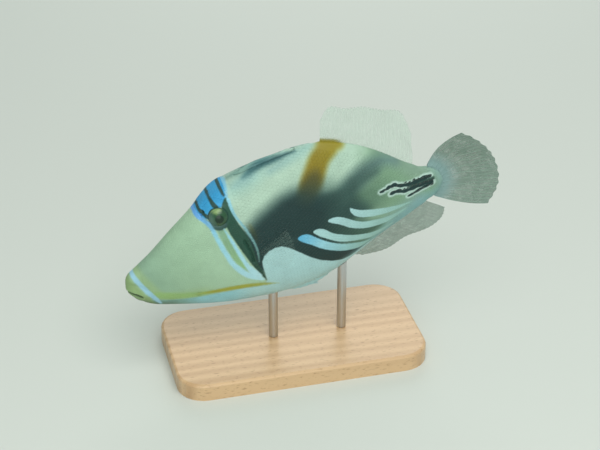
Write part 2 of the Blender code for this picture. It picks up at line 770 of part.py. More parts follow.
def world_box(pieces):
    """Low and high corners of the pieces, in metres."""
    bpy.context.view_layer.update()
    corners = [piece.matrix_world @ vert.co for piece in pieces for vert in piece.data.vertices]
    low = Vector([min(c[i] for c in corners) for i in range(3)])
    high = Vector([max(c[i] for c in corners) for i in range(3)])
    return low, high


def main():
    for old in list(bpy.data.objects):
        bpy.data.objects.remove(old)
    skin = material("skin", (0.42, 0.50, 0.40), 0.45)
    dark = material("dark_skin", (0.05, 0.07, 0.08), 0.5)
    web = material("fin", (0.50, 0.56, 0.52), 0.4)
    eye = material("eye", (0.10, 0.09, 0.04), 0.1)
    wood = material("wood", (0.62, 0.50, 0.36), 0.5)
    steel = material("steel", (0.55, 0.56, 0.57), 0.35, 1.0)

    model = bpy.data.objects.new("model", None)
    pose = bpy.data.objects.new("fish_pose", None)
    for empty in (model, pose):
        bpy.context.scene.collection.objects.link(empty)
    pose.parent = model
    turn = Matrix.Rotation(math.radians(-HEAD_DOWN), 4, "Y")
    pose.matrix_local = turn @ Matrix.Translation((-BODY_LENGTH / 2 * MM, 0, 0))
    bpy.context.view_layer.update()

    make_head(pose, skin)
    make_eyes(pose, eye)
    make_trunk(pose, skin)
    make_tail_base(pose, skin)
    make_first_dorsal_fin(pose, dark)
    median_fin("soft_dorsal_fin", DORSAL_BASE, back, DORSAL_LENGTH, DORSAL_LEAN, DORSAL_SWEEP,
               DORSAL_RAYS, 1, pose, web)
    median_fin("anal_fin", ANAL_BASE, belly, ANAL_LENGTH, ANAL_LEAN, ANAL_SWEEP, ANAL_RAYS, -1, pose, web)
    make_tail_fin(pose, web)
    for side, name in ((-1, "pectoral_fin_left"), (1, "pectoral_fin_right")):
        make_pectoral_fin(side, name, pose, web)
    make_pelvic_flap(pose, skin)

    fish = [piece for piece in bpy.data.objects if piece.type == "MESH"]
    lowest = world_box(fish)[0].z / MM
    make_stand(model, pose, lowest, wood, steel)
    pieces = [piece for piece in bpy.data.objects if piece.type == "MESH"]
    low, high = world_box(pieces)
    model.location = (-(low.x + high.x) / 2, -(low.y + high.y) / 2, -low.z)


main()
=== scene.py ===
"""The looks of a life-size picasso triggerfish on a plain display stand.

The fish is drawn in its own frame, in millimetres: x runs back from the snout, y is positive to
its right and z is up. in_model turns that frame head down and into the model's metres. Markings
are strokes and outlines on the flank, given as (x, z) places with half widths. The outline's
heights and the camera were fitted to points read off the photograph, and the markings' places are
points of the photograph turned into millimetres on that body. The outline and the places are rounded.
"""
import math
import random

import bmesh
import bpy
import numpy as np
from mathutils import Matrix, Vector


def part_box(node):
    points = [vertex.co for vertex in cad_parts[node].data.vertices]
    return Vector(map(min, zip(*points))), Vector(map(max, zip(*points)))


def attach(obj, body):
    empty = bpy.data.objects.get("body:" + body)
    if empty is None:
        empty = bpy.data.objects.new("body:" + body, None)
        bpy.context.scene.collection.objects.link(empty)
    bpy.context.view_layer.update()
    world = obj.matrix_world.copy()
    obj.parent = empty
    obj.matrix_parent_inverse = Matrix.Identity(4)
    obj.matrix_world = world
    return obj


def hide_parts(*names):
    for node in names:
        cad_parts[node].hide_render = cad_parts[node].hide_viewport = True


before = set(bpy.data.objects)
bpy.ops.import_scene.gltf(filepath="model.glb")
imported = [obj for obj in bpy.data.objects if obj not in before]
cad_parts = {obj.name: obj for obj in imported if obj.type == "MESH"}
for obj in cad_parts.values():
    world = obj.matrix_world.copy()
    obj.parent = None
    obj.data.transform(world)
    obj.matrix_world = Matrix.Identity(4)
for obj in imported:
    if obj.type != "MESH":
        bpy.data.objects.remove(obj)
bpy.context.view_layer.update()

# Driving dimensions, in millimetres and degrees
MM = 0.001
BODY_LENGTH = 167.0
HEAD_DOWN = 13.5
SKIN_INSET = 0.1

# Outline of the body from the side, as stations along the fish with the fitted heights, rounded
BACK = [(0, 4.5), (7, 8), (17, 13.6), (28, 21), (40, 28.4), (52, 36), (62, 40), (77, 42.7), (94, 44),
        (107, 43.3), (120, 38.3), (134, 29.5), (145, 19.7), (154, 12), (160, 9.8), (167, 9.5)]
BELLY = [(0, -6.7), (7, -13.2), (17, -18.2), (30, -23), (45, -27.6), (60, -30.6), (77, -32.6),
         (90, -32.4), (104, -30), (117, -24.8), (130, -19), (144, -14), (154, -10.3), (160, -9.1),
         (167, -9)]

# Half width, height of the widest point and roundness of the shoulder, judged
HALF_WIDTH = [(0, 3), (7, 4.7), (17, 6.5), (30, 8.7), (45, 11), (58, 12.5), (72, 13.4), (87, 12.9),
              (104, 11.2), (120, 8.9), (137, 6.2), (150, 4.2), (160, 3), (167, 2.3)]
WIDEST = [(0, 1.6), (60, 4.6), (100, 5.5), (120, 6), (150, 3), (167, 0.5)]
SHOULDER = [(0, 2.2), (34, 2.2), (45, 2.6), (53, 3.3), (62, 2.9), (74, 2.4), (92, 2.1), (125, 1.9),
            (167, 2)]

# Roundness of the underside, and of the ends of the body
UNDERSIDE = 2.2
NOSE_ROUND = 3.7
TAIL_ARC = 9.6
TAIL_THIN = 5.0
TAIL_EDGE = 0.5

# Skin mesh
RING_POINTS = 226
STATION_STEP = 0.66
NOSE_STEP = 0.12
ARC_SAMPLES = 720

# Head
MOUTH = [(-3, -1.6), (1.0, -2.8), (3.6, -4.6), (5.8, -6.8)]
LIP_HEIGHT = 1.05
LIP_REACH = 2.4
LIP_FOLD = 0.2
LIP_FOLD_AT = 4.6
MOUTH_DEPTH = 1.6
MOUTH_WIDTH = 0.42
WRINKLE_HEIGHT = 0.05
WRINKLE_REACH = 2.2
EYE_X = 53.0
EYE_Z = 27.2
EYE_RADIUS = 5.55
EYE_DEPTH = 2.8
LID_HEIGHT = 0.5
LID_AT = 6.1
LID_WIDTH = 0.75
SOCKET_DEPTH = 0.25
SOCKET_AT = 8.4
SOCKET_WIDTH = 0.9
EYE_RINGS = 47
EYE_SIDES = 64
CORNEA = dict(height=0.012, reach=0.5)
IRIS_RADIUS = 4.85
SPOKE_WIDTH = 0.54
SPOKE_DRIFT = 0.15
BROW = [(47, 34), (58, 37)]
BROW_HEIGHT = 0.5
BROW_REACH = 3.0
NOSTRILS = [(45.4, 29.0), (47.0, 30.4)]
NOSTRIL_RADIUS = 0.62
NOSTRIL_DEPTH = 1.0
NOSTRIL_RIM = dict(height=0.22, at=0.95, width=0.28)
GILL_SLIT = [(61.6, 10.5), (62.6, 6), (63.2, 1.5), (63.1, -3)]
GILL_DEPTH = 0.8
GILL_WIDTH = 0.6
GILL_COVER = dict(height=0.35, ahead=1.6, width=1.3)

# How far round each detail the mesh of the skin is finer, and finer still
FINE = dict(mouth=2.5, lid=1.9, gill=1.6, nostril=1.8, groove=3.0)
FINEST = dict(slit=0.9, nostril=1.5)

# Height above which a place is on the back
UPPER_BODY = 30.0

# Folded first dorsal fin and its groove
CREST_START = 66.5
CREST_END = 98.5
CREST_HALF_WIDTH = 1.7
CREST_DEPTH = 3.0
CREST_POINT = 3.5
GROOVE_SQUARENESS = 6
CREST_STEP = 0.4
CREST_SIDES = 40
CREST_PLAY = 0.12
CREST_RISE = 0.45
PLEAT = dict(height=0.13, turns=4, along=0.9)

# Spines of the folded fin: start, length, radius and place aside
CREST_SPINES = [(69.5, 25.5, 1.15, 0), (74, 16, 0.65, 0.95), (79, 9, 0.5, -0.85)]

# Soft fins: base, number of rays, lengths, lean to the right and sweep back along the base
DORSAL = dict(base=(111.5, 153.5), rays=25, lean=[(0, 8), (0.4, 14), (0.75, 28), (1, 32)], sweep=(17, 22),
              length=[(0, 11), (0.06, 16.5), (0.2, 18.5), (0.5, 20.5), (0.8, 24), (0.92, 24), (1, 16)])
ANAL = dict(base=(113.5, 155), rays=22, lean=[(0, 26), (0.4, 20), (0.7, 14), (1, 12)], sweep=(38, 45),
            length=[(0, 9), (0.08, 14.5), (0.3, 19), (0.6, 21), (0.85, 21), (1, 14.5)])
TAIL_RAYS = 12
TAIL_LENGTH = 28.7
TAIL_ROOT_SPREAD = 68.0
TAIL_SPREAD = 32.0
TAIL_CURL = 34.0
TAIL_TILT = 8.0
TAIL_BEND = 29.0
TAIL_TWIST = 12.0
PECTORAL_ROOT = [(67.4, 2.2), (68.8, -5.0)]
PECTORAL_RAYS = 13
PECTORAL_LENGTH = 19.0
PECTORAL_LOW_SHARE = 0.58
PECTORAL_OPEN = 24.0
PECTORAL_UP = 34.0
PECTORAL_FAN = 62.0
FIN_ROOT_SINK = 1.4
FIN_NOTCH = 0.02
COLUMNS_PER_RAY = 14
FIN_ROWS = 44
WEB_HALF = 0.07
RAY_JOINT = 1.5
SHEATH_HEIGHT = 0.9
SHEATH_REACH = 1.5
SHEATH_ON_BACK = (108, 112, 153, 157)
SHEATH_ON_BELLY = (110, 115, 154, 158)
FIN_WAVE = dict(count=2.6, start=0.15)
LEAN_RATE = 1.6

# Spread of a ray's fork, where it starts and the ray's width, as shares; half thickness and its taper
MEDIAN_FORK = (0.17, 0.5, 0.15)
MEDIAN_RAY = (0.24, 0.18)
TAIL_FORK = (0.25, 0.36, 0.085)
TAIL_RAY = (0.26, 0.2)
PECTORAL_FORK = (0.16, 0.45, 0.15)
PECTORAL_RAY = (0.16, 0.12)

# The pectoral fin's notches between rays, and how its root sinks in and its foot bulges out
PECTORAL_NOTCH = 0.03
PECTORAL_SINK = 0.3
PECTORAL_BULGE = 1.25

# Fleshy foot of the tail's rays: thickness and reach; its stain: strength, start and end
TAIL_FLESH = (0.5, 1.6)
TAIL_STAIN = (0.85, 1.0, 11.0)
TAIL_FOOT_RISE = 0.45
TAIL_FOOT_SINK = 2.0
TAIL_FOOT_LENGTH = 2.4
TAIL_WAVE = dict(height=0.5, count=1.1, start=0.2)

# Rows of hooked spines on the tail base: height from and to, start, end and count
SPINE_ROWS = [((8.4, 5.2), (134, 161), 13), ((5.0, 2.3), (139.5, 161.5), 11),
              ((-0.6, 0.0), (147.5, 160.5), 7)]
HOOK_SIZE = 1.7

# Pelvic flap
PELVIC_START = 76.0
PELVIC_END = 100.0
PELVIC_DROP = 2.6
PELVIC_RIBS = 9
PELVIC_ROWS = 24
PELVIC_COLUMNS_PER_RIB = 16
PELVIC_SWEEP = 0.25
PELVIC_HALF = (0.9, 0.6)
PELVIC_SPINE_PAIRS = 6
PELVIC_SPINE_START = 86.2
PELVIC_SPINE_SIZE = 2.0

# Zones of scales: from and to along the body, length and width of a scale
SCALE_ZONES = [(9.0, 61.0, 1.5, 1.3), (64.0, 164.0, 2.15, 1.85)]
SCALE_OVERLAP = 1.16
SCALE_THICKNESS = 0.055
SCALE_ROW_STEP = 0.75
SCALE_SINK = 0.01
SCALES_EACH_WAY = 60
CROWN_GAP = 0.6

# How far scales stay from each detail, and the stretch that the feet of the fins take up
CLEAR = dict(eye=7.4, mouth=5.5, gill=1.4, nostril=2.0, groove=1.0, fins=3.2)
FIN_FEET = (106, 159)
FIN_FOOT_DEPTH = 3

# Share of the map's width that the body takes up, millimetres round it that fill the height, share per mm
MAP_WIDTH = 0.9
MAP_GIRTH = 120.0
MAP_PER_MM = 0.0013

# Camera, as the fit placed it to the fish's middle; its distance was chosen
CAMERA_AZIMUTH = 13.74
CAMERA_ELEVATION = 30.97
CAMERA_DISTANCE = 0.835
CAMERA_FOCAL = 1674.7
PICTURE = (600, 450)
MIDDLE_PIXEL = (285.35, 230.88)
SENSOR = 36.0
CLIP = (0.01, 20)

# Stage, in metres and watts; each lamp's name, place from the fish's middle, width, power and tint
FLOOR_REACH = 1.6
SKY_STRENGTH = 0.55
LAMPS = [("key", (0.05, -0.45, 0.85), 0.9, 7.0, "#fffefc"),
         ("fill", (-0.2, -0.95, 0.15), 0.9, 3.5, "#fcfeff"),
         ("back", (0.3, 0.9, 0.4), 0.8, 3.0, "#ffffff")]


def curve_through(pairs):
    """A natural cubic spline through (station, value) pairs, as a function of arrays."""
    x, y = np.array(pairs, float).T
    step = np.diff(x)
    count = len(x)
    system = np.eye(count)
    right = np.zeros(count)
    for i in range(1, count - 1):
        system[i, i - 1:i + 2] = (step[i - 1], 2 * (step[i - 1] + step[i]), step[i])
        right[i] = 6 * ((y[i + 1] - y[i]) / step[i] - (y[i] - y[i - 1]) / step[i - 1])
    bend = np.linalg.solve(system, right)

    def value(station):
        s = np.clip(station, x[0], x[-1])
        i = np.clip(np.searchsorted(x, s) - 1, 0, count - 2)
        a = (x[i + 1] - s) / step[i]
        b = (s - x[i]) / step[i]
        cubic = ((a ** 3 - a) * bend[i] + (b ** 3 - b) * bend[i + 1]) * step[i] ** 2 / 6
        return a * y[i] + b * y[i + 1] + cubic

    return value


back = curve_through(BACK)
belly = curve_through(BELLY)
half_width = curve_through(HALF_WIDTH)
widest = curve_through(WIDEST)
shoulder = curve_through(SHOULDER)


def rounding(depth, radius):
    """Share of the full height at a depth behind a round end."""
    return np.sqrt(np.maximum(1 - (1 - np.minimum(depth / radius, 1)) ** 2, 1e-4))


def smooth(value, start=0.0, end=1.0):
    """0 before start, 1 after end and an even S between."""
    t = np.clip((value - start) / (end - start), 0, 1)
    return t * t * (3 - 2 * t)


def section_sizes(x):
    """Top, bottom, half width, height of the widest point and upper exponent of the section at x."""
    middle = widest(x)
    ends = rounding(x, NOSE_ROUND) * rounding(BODY_LENGTH - x, TAIL_ARC)
    top = middle + (back(x) - SKIN_INSET - middle) * ends
    bottom = middle + (belly(x) + SKIN_INSET - middle) * ends
    thin = TAIL_EDGE + (1 - TAIL_EDGE) * rounding(BODY_LENGTH - x, TAIL_THIN)
    wide = (half_width(x) - SKIN_INSET) * rounding(x, NOSE_ROUND) * thin
    return top, bottom, wide, middle, shoulder(x)


def flank_reach(x, z):
    """Distance from the midplane to the skin at (x, z)."""
    top, bottom, wide, middle, upper = section_sizes(x)
    rise = np.where(z >= middle, top - middle, middle - bottom)
    power = np.where(z >= middle, upper, UNDERSIDE)
    part = np.minimum(np.abs(z - middle) / rise, 1.0)
    return wide * (1 - part ** power) ** (1 / power)


def flank_point(x, z, side):
    """The skin at (x, z) on one side (-1 left, 1 right), and its outward direction."""
    step = 0.2
    slope_x = (flank_reach(x + step, z) - flank_reach(x - step, z)) / (2 * step)
    slope_z = (flank_reach(x, z + step) - flank_reach(x, z - step)) / (2 * step)
    outward = np.array([-slope_x, side, -slope_z])
    return np.array([x, side * flank_reach(x, z), z]), outward / np.linalg.norm(outward)


def eye_place(side):
    """Centre of an eyeball and the direction it looks in."""
    skin, outward = flank_point(EYE_X, EYE_Z, side)
    return skin - outward * EYE_DEPTH, outward


def turned(points):
    """Body directions or offsets with the head lowered."""
    x, y, z = np.asarray(points, float).T
    c, s = math.cos(math.radians(HEAD_DOWN)), math.sin(math.radians(HEAD_DOWN))
    return np.stack([x * c - z * s, y, x * s + z * c], -1)


def find_origin():
    """Where the middle of the body's axis lies in the model, found from the two eyeballs."""
    corners = [corner for node in ("eye_left", "eye_right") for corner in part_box(node)]
    centre = np.mean([np.array(corner) for corner in corners], axis=0)
    eye = eye_place(-1)[0]
    return centre - turned(np.array([eye[0] - BODY_LENGTH / 2, 0, eye[2]])) * MM


ORIGIN = find_origin()


def in_model(points):
    """Body millimetres to the model's metres."""
    offset = np.asarray(points, float) - (BODY_LENGTH / 2, 0, 0)
    return turned(offset) * MM + ORIGIN


def unit(vectors):
    """Vectors at a length of one."""
    return vectors / np.maximum(np.linalg.norm(vectors, axis=-1, keepdims=True), 1e-9)


def coded(code):
    """An sRGB hex code as three shares of one."""
    return np.array([int(code[i:i + 2], 16) for i in (1, 3, 5)]) / 255


def linear(values):
    """Hex-coded shades as the linear numbers that light needs."""
    return np.where(values <= 0.04045, values / 12.92, ((values + 0.055) / 1.055) ** 2.4)


def tone(code):
    """A hex colour as the linear colour that nodes and lamps take."""
    return (*linear(coded(code)), 1.0)


# Markings

# Partly the snout's own tone, partly painted shade on the front of the head
SNOUT_TONE_AND_PAINTED_SHADE = "#7d9d86"
SAGE = "#92b295"
SAGE_LIGHT = "#9fbfa2"
SAGE_YELLOW = "#93b07e"
LIP = "#84a06e"
# Painted shade, laid in the mouth's slit and under the chin
LIP_PAINTED_SHADE = "#4c5f45"
LIP_BAND = "#93bfd0"
THROAT = "#8ac0c8"
THROAT_FRONT = "#6c9184"
BACK_PALE = "#a3beab"
BACK_BLUE = "#8fb5aa"
INK = "#1c3635"
INK_BROWN = "#274f40"
BAR_GREEN = "#234438"
INK_EDGE = "#2b4a45"
CREST_BLUE = "#456f71"
CREST_INK = "#305557"
CREST_HAZE = "#5f867d"
CREST_SIDE = "#7da29e"
AMBER = "#746319"
AMBER_TOP = "#877d24"
AMBER_LOW = "#4a4a2b"
REAR_BAND = "#3f5c54"
REAR_BAND_TOP = "#5f7c77"
REAR_OLIVE = "#74967a"
REAR_SHADE = "#304d47"
REAR_DEEP = "#466554"
TAIL_BACK = "#6d8877"
PEDUNCLE = "#83a3a2"
BELLY_WHITE = "#a0c6c6"
# Painted shade on the underside of the belly
BELLY_PAINTED_SHADE = "#78a4a6"
BLUE = "#3896c6"
BLUE_PALE = "#77b4cb"
LINE_BLUE = "#5d9ad8"
LINE_PALE = "#8cc6d6"
LINE_WHITE = "#a9d2d8"
LINE_FADED = "#5f8780"
OLIVE = "#88b07c"
OLIVE_TOP = "#7ba088"
JAW = "#969a40"
JAW_GREEN = "#8bae70"
JAW_FADED = "#93a568"
JAW_SPOT = "#5f6a3d"
STRIPE_BLUE = "#58a6c8"
STRIPE_PALE = "#a1c9ca"
STRIPE_MIDDLE = "#8fc4d0"
STRIPE_REAR = "#89b1a6"
ROW_SHADE = "#38564c"
EYE_SHADE = "#4c6f68"
HALO = "#aecabf"

EYE_BAR = [(59, 34.4, 0.8), (58, 31, 2.1), (57.9, 25, 2.7), (58.7, 19.5, 3.1), (60.5, 12.6, 3.3),
           (61.8, 6, 2.85), (62.9, -1, 1.9), (63.7, -5.5, 1.35), (64.7, -9, 1.05), (65.8, -12.8, 0.8),
           (66.7, -16.6, 0.3)]
BAR_LINE = [(-40, 67), (-16.6, 66.4), (-9, 64.4), (-5.5, 63.2), (-1, 62.4), (6, 61.4), (12.6, 60),
            (19.5, 58.4), (25, 58), (30.5, 58.4), (37, 59.6), (50, 61.5)]
ROW_UPPER_FIRST = [(133.6, 7.7, 0.55), (134.9, 7.7, 0.85), (136.3, 8.1, 0.45)]
ROW_UPPER = [(137.1, 7.9, 0.75), (138.4, 8.3, 1.05), (139.8, 8.3, 0.8), (141.3, 8.4, 1.15),
             (142.9, 7.4, 0.8), (144.6, 6.4, 1.1), (146.6, 5.7, 0.85), (148.6, 5.2, 1.15), (150.6, 5, 0.9),
             (152.8, 5, 1.2), (154.8, 5, 0.95), (157, 5.1, 1.25), (159, 5, 1), (160.8, 4.8, 0.85)]
ROW_MIDDLE = [(138.5, 4.2, 0.65), (139.9, 4.4, 1.05), (141.3, 4.3, 0.8), (142.9, 4, 1.15),
              (144.3, 3.1, 0.8), (146, 2.5, 1.1), (148.2, 2.3, 0.9), (150.4, 2.2, 1.2), (152.8, 2.2, 0.95),
              (155.2, 2.2, 1.25), (157.4, 2.1, 1), (159.4, 1.9, 1.1), (161.2, 1.6, 0.7)]
ROW_LOWER = [(147.2, -1.2, 0.45), (149, -1, 0.75), (151, -0.7, 0.6), (153, -0.3, 0.9), (155, 0, 0.7),
             (157.2, 0.3, 0.95), (159.2, 0.5, 0.75), (161.3, 0.8, 0.6)]

TAIL_ROWS = (ROW_UPPER_FIRST, ROW_UPPER, ROW_MIDDLE, ROW_LOWER)
HALO_MARGIN = 0.9
JAW_LINE = [(0, -8), (13, -12), (22, -14.4), (31, -15.6), (45, -16.9), (60, -19), (70, -22), (90, -28)]

# Soft strokes laid on the ground colours in order: softness, strength, front and rear colour, path
SOFT_STROKES = [
    (9.0, 1.0, REAR_OLIVE, REAR_OLIVE, [(137, 26, 6), (140, 10, 13), (148, -4, 14), (170, 0, 14)]),
    (6.0, 1.0, REAR_OLIVE, PEDUNCLE, [(118, -14, 6), (128, -13, 8), (140, -11, 6.5), (152, -7, 4.5)]),
    (4.5, 0.75, TAIL_BACK, TAIL_BACK, [(146, 18, 2), (151, 13, 3), (158, 9, 3)]),
    (2.3, 1.0, AMBER_TOP, AMBER,
     [(118.6, 41, 5.4), (113.6, 39.6, 5.3), (108.8, 37, 5.2), (104.8, 32.3, 5.4), (101, 27.5, 5.4),
      (97.2, 23.2, 4)]),
    (5.5, 1.0, REAR_DEEP, REAR_OLIVE, [(119, 7, 9), (127, 7, 8.5), (135, 8, 6), (142, 6, 3)]),
    (5.4, 1.0, INK, INK,
     [(62, -3, 10), (66, 3, 10.3), (74, 10, 10.9), (84, 12.5, 13.1), (92, 12.5, 14.8), (98, 9.5, 13)]),
    (4.0, 1.0, INK, REAR_SHADE, [(98, 9, 11), (107, 7.5, 9.5), (115, 4.5, 8), (121, 2, 5)]),
    (4.2, 0.97, REAR_SHADE, REAR_BAND_TOP,
     [(109, 13, 6.4), (116, 16.8, 4.8), (121, 19.2, 4.4), (127, 21.4, 4.2), (133, 22.7, 3.8),
      (138, 22.8, 3.2), (145, 19, 2)]),
    (4.0, 0.9, REAR_SHADE, REAR_BAND, [(118, 14, 3.4), (123, 17, 3), (128, 18.4, 2.4), (134, 19.4, 1.6)]),
    (6.0, 0.5, REAR_BAND, REAR_BAND, [(103.6, 22.6, 3.4), (108.6, 22.6, 3)]),
    (4.5, 1.0, INK, REAR_SHADE, [(102, 12, 5.8), (108, 12, 5.4), (114, 12.2, 3)]),
    (3.2, 1.0, INK, REAR_DEEP, [(96, 1, 9), (105, -3, 8), (114, -6.5, 7), (122, -9.5, 5), (129, -11, 2.5)]),
    (2.4, 0.4, REAR_OLIVE, REAR_OLIVE, [(119, -1.6, 2), (126, -4, 1.8), (132, -6, 1)]),
    (2.4, 1.0, INK, INK,
     [(70, -3, 6), (80, -4, 7), (90, -9, 7.5), (98, -14, 7), (107, -18, 5.5), (115, -19.5, 3.8),
      (121.5, -19, 1.6)]),
    (3.4, 0.75, AMBER_LOW, INK, [(104.6, 31, 2), (102.4, 28, 4.4), (99.2, 24.4, 4.8), (92, 17.5, 2.5)]),
    (4.5, 0.8, BACK_BLUE, BACK_BLUE, [(61, 37, 3), (66, 38, 4), (72, 39, 4), (80, 40.5, 2.5)]),
    (3.0, 0.8, CREST_SIDE, CREST_SIDE, [(65, 38.4, 0.6), (69, 39.4, 2), (74, 40.4, 2)]),
    (3.5, 0.95, CREST_SIDE, BACK_BLUE, [(84, 39.8, 1.2), (93, 41.4, 2), (100, 42.6, 2.4), (106, 43.2, 2)]),
    (2.6, 0.85, CREST_HAZE, BACK_BLUE,
     [(63, 40.4, 1), (69, 41.6, 2.6), (76, 42.6, 3), (84, 43.4, 2.4), (92, 44, 1.4)]),
    (1.9, 0.95, CREST_BLUE, CREST_BLUE,
     [(70.4, 40.4, 0.6), (73.6, 41.4, 1.8), (78, 42.4, 2.6), (84, 43, 2.5), (89, 43.1, 1.7),
      (93.5, 43.4, 1), (98.2, 43.4, 0.2)]),
    (1.2, 0.7, CREST_INK, CREST_INK,
     [(75, 41.6, 0.3), (81, 42.5, 1.1), (87, 43, 1), (93, 43.4, 0.6), (98.2, 43.4, 0.1)]),
    (1.6, 0.35, AMBER, AMBER_LOW, [(66.4, 18.3, 0.3), (66.8, 15, 0.9), (67.3, 11, 0.6), (67.3, 7, 0.2)]),
    (5.0, 0.8, PEDUNCLE, PEDUNCLE, [(166, 12, 5), (168, 0, 5.5), (166, -12, 5)]),
]

# Outlines filled with one colour, below the strokes: softness, colour, corners
FILLED = [
    (0.45, BELLY_WHITE,
     [(67, -17.5), (66.9, -11), (66.8, -7.5), (67.2, -4.2), (68.8, -1.5), (71.7, 0.4), (75.1, 1.3),
      (78.4, 0.8), (81.9, -1.7), (86.3, -6.6), (90.7, -11.8), (95.3, -16.4), (101.4, -20.6), (106.8, -23.1),
      (112, -23.2), (117, -21.6), (121.5, -20.2), (126, -20), (131, -18.5), (136, -30), (100, -40),
      (70, -40), (62, -30), (62, -19.5)]),
    (0.6, BLUE,
     [(43.0, 28.9), (45.5, 27.4), (48.2, 27), (50.5, 29.4), (53, 31.2), (57.5, 31.6), (59.2, 33.4),
      (59.9, 36.3), (60.6, 38), (61.2, 44), (42.4, 44), (42.3, 31)]),
]

# Crisp strokes: group, softness, front and rear colour, path
CRISP_STROKES = [
    ("under", 0.8, BLUE_PALE, BLUE_PALE,
     [(61.4, 41, 1), (60.5, 38.5, 1.1), (59.6, 36, 1.0), (59.6, 33.6, 0.5)]),
    ("under", 0.9, OLIVE_TOP, OLIVE,
     [(52, 22.5, 1.2), (53.3, 13.6, 2), (54.7, 6.1, 2), (56.7, -0.8, 1.9), (58.7, -6, 1.2)]),
    ("under", 1.3, JAW_GREEN, JAW_GREEN,
     [(13, -8.2, 1.8), (18, -10.4, 2.2), (25, -12.6, 2), (32, -14, 1.5), (39, -14.9, 0.8)]),
    *[("under", 0.7, HALO, HALO, [(x, z, w + HALO_MARGIN) for x, z, w in row]) for row in TAIL_ROWS],
    ("under", 0.5, ROW_SHADE, ROW_SHADE,
     [(147, 4, 0.4), (150, 3.6, 1.5), (154, 3.2, 2.1), (158.5, 3, 2.1), (161.3, 3, 1.5)]),
    ("dark", 0.8, JAW_GREEN, JAW, [(30, -13.5, 0.4), (35, -14, 0.8), (39.5, -14.6, 1)]),
    ("dark", 0.8, JAW, JAW, [(39.5, -14.6, 1), (44, -15.1, 1.25), (50, -15.8, 1.4), (56, -16.7, 1.4)]),
    ("dark", 0.9, JAW, JAW_FADED,
     [(56, -16.7, 1.4), (62, -18.1, 1.25), (67, -19.6, 0.9), (72, -21.5, 0.1)]),
    ("dark", 1.1, JAW_SPOT, JAW_SPOT, [(31.5, -13.7, 0.3), (33, -13.8, 0.7), (34.5, -13.9, 0.6)]),
    ("dark", 0.6, EYE_SHADE, INK_EDGE,
     [(47.4, 26.6, 0.4), (48.5, 23.9, 1.2), (50.4, 21.9, 1.3), (52.4, 21.2, 1.3), (54.6, 21.6, 1.3),
      (57, 23.2, 1.2)]),
    ("dark", 0.5, INK_BROWN, BAR_GREEN, EYE_BAR),
    ("dark", 0.4, INK_EDGE, INK_EDGE,
     [(46.3, 33.2, 0.5), (45.7, 32.4, 0.8), (45.5, 31.3, 0.9), (46.4, 30.1, 0.95), (48.1, 28.3, 1),
      (49.6, 27.1, 1)]),
    ("dark", 0.4, INK_EDGE, INK_EDGE,
     [(52, 36.1, 0.95), (52, 35.7, 0.95), (52.3, 34.6, 1), (52.7, 33.4, 1.1), (53.6, 32, 1.15)]),
    ("dark", 0.4, INK_EDGE, INK_EDGE,
     [(58.2, 38.9, 0.95), (58.3, 38.5, 0.95), (58.5, 37.4, 0.95), (58.8, 36.2, 0.8)]),
    *[("dark", 0.3, INK, INK, row) for row in TAIL_ROWS],
    ("light", 0.6, LINE_BLUE, LINE_PALE,
     [(42.9, 31.4, 1), (43.5, 29.2, 1.15), (45.9, 26.6, 1.2), (47.9, 23.4, 1.1), (49.2, 17.7, 1.05)]),
    ("light", 0.7, LINE_PALE, LINE_WHITE,
     [(48.7, 20, 0.9), (50.4, 10.7, 1.2), (51.8, 4, 1.25), (53.5, -1.6, 1.35), (55.9, -6.1, 1.6),
      (58.6, -9.9, 1.7), (62.2, -12.9, 1.6), (65.2, -15.5, 0.8)]),
    ("light", 0.6, LINE_PALE, LINE_WHITE,
     [(54, 20.2, 0.2), (55.2, 15.1, 0.6), (56.6, 8.5, 0.85), (58.1, 1.7, 1.0), (59.8, -4.6, 1.25),
      (61.6, -8.9, 1.7), (64, -12.6, 1.2)]),
    ("light", 0.5, LINE_PALE, LINE_FADED,
     [(60.2, 34, 0.8), (60.3, 30.5, 0.7), (61.1, 25, 0.65), (63.2, 19, 0.6), (64.9, 13, 0.6), (66, 8, 0.5),
      (66.4, 2.3, 0.45), (65.6, -3.8, 0.25)]),
    ("light", 0.6, LIP_BAND, LIP_BAND,
     [(4.3, 7.6, 1.0), (4.9, 5.6, 1.2), (6.3, 1.8, 1.3), (8.7, -4, 1.3), (11.2, -9.4, 1.2),
      (12.6, -12.4, 1.0), (13.4, -14.6, 0.6)]),
    ("light", 0.4, STRIPE_BLUE, STRIPE_MIDDLE,
     [(88.1, 1.4, 0.9), (90, 0.7, 2.0), (93.5, -2.2, 2.3), (98, -7, 2.25)]),
    ("light", 0.4, STRIPE_MIDDLE, STRIPE_REAR,
     [(98, -7, 2.25), (103.5, -11.6, 2.15), (109, -15, 2.1), (114, -17.2, 2.1), (118.6, -18.5, 1.6),
      (122.6, -18.4, 0.7)]),
    ("light", 0.35, STRIPE_PALE, STRIPE_REAR,
     [(96.3, 1.8, 0.8), (98.2, 0.7, 1.8), (102.2, -3.2, 1.9), (107.3, -7.6, 2), (113, -10.9, 1.85),
      (118.6, -13.3, 1.7), (124.3, -15.1, 1.6), (130.8, -15.3, 1.1), (137, -14, 0.4)]),
    ("light", 0.35, STRIPE_PALE, STRIPE_REAR,
     [(104.9, 4.4, 0.8), (107.2, 3.6, 1.6), (110.9, 1.3, 2.0), (115.3, -2.7, 2.1), (120.4, -6.1, 1.95),
      (125.6, -8, 2.0), (132.4, -9.4, 1.7), (139.2, -9.2, 1.05), (145, -7.9, 0.4)]),
    ("light", 0.35, STRIPE_PALE, STRIPE_REAR,
     [(116.6, 6.6, 0.1), (116.9, 5.6, 0.6), (118.2, 3.4, 1.4), (120.6, 1.2, 1.9), (124.2, -0.6, 2.05),
      (131, -3, 1.85), (137.5, -4.5, 1.4), (144.5, -5.2, 0.6), (149, -5.2, 0.2)]),
]
GROUPS = ("under", "dark", "light")
FAR_FIELD = -4.0
SAMPLES_PER_SPAN = 5


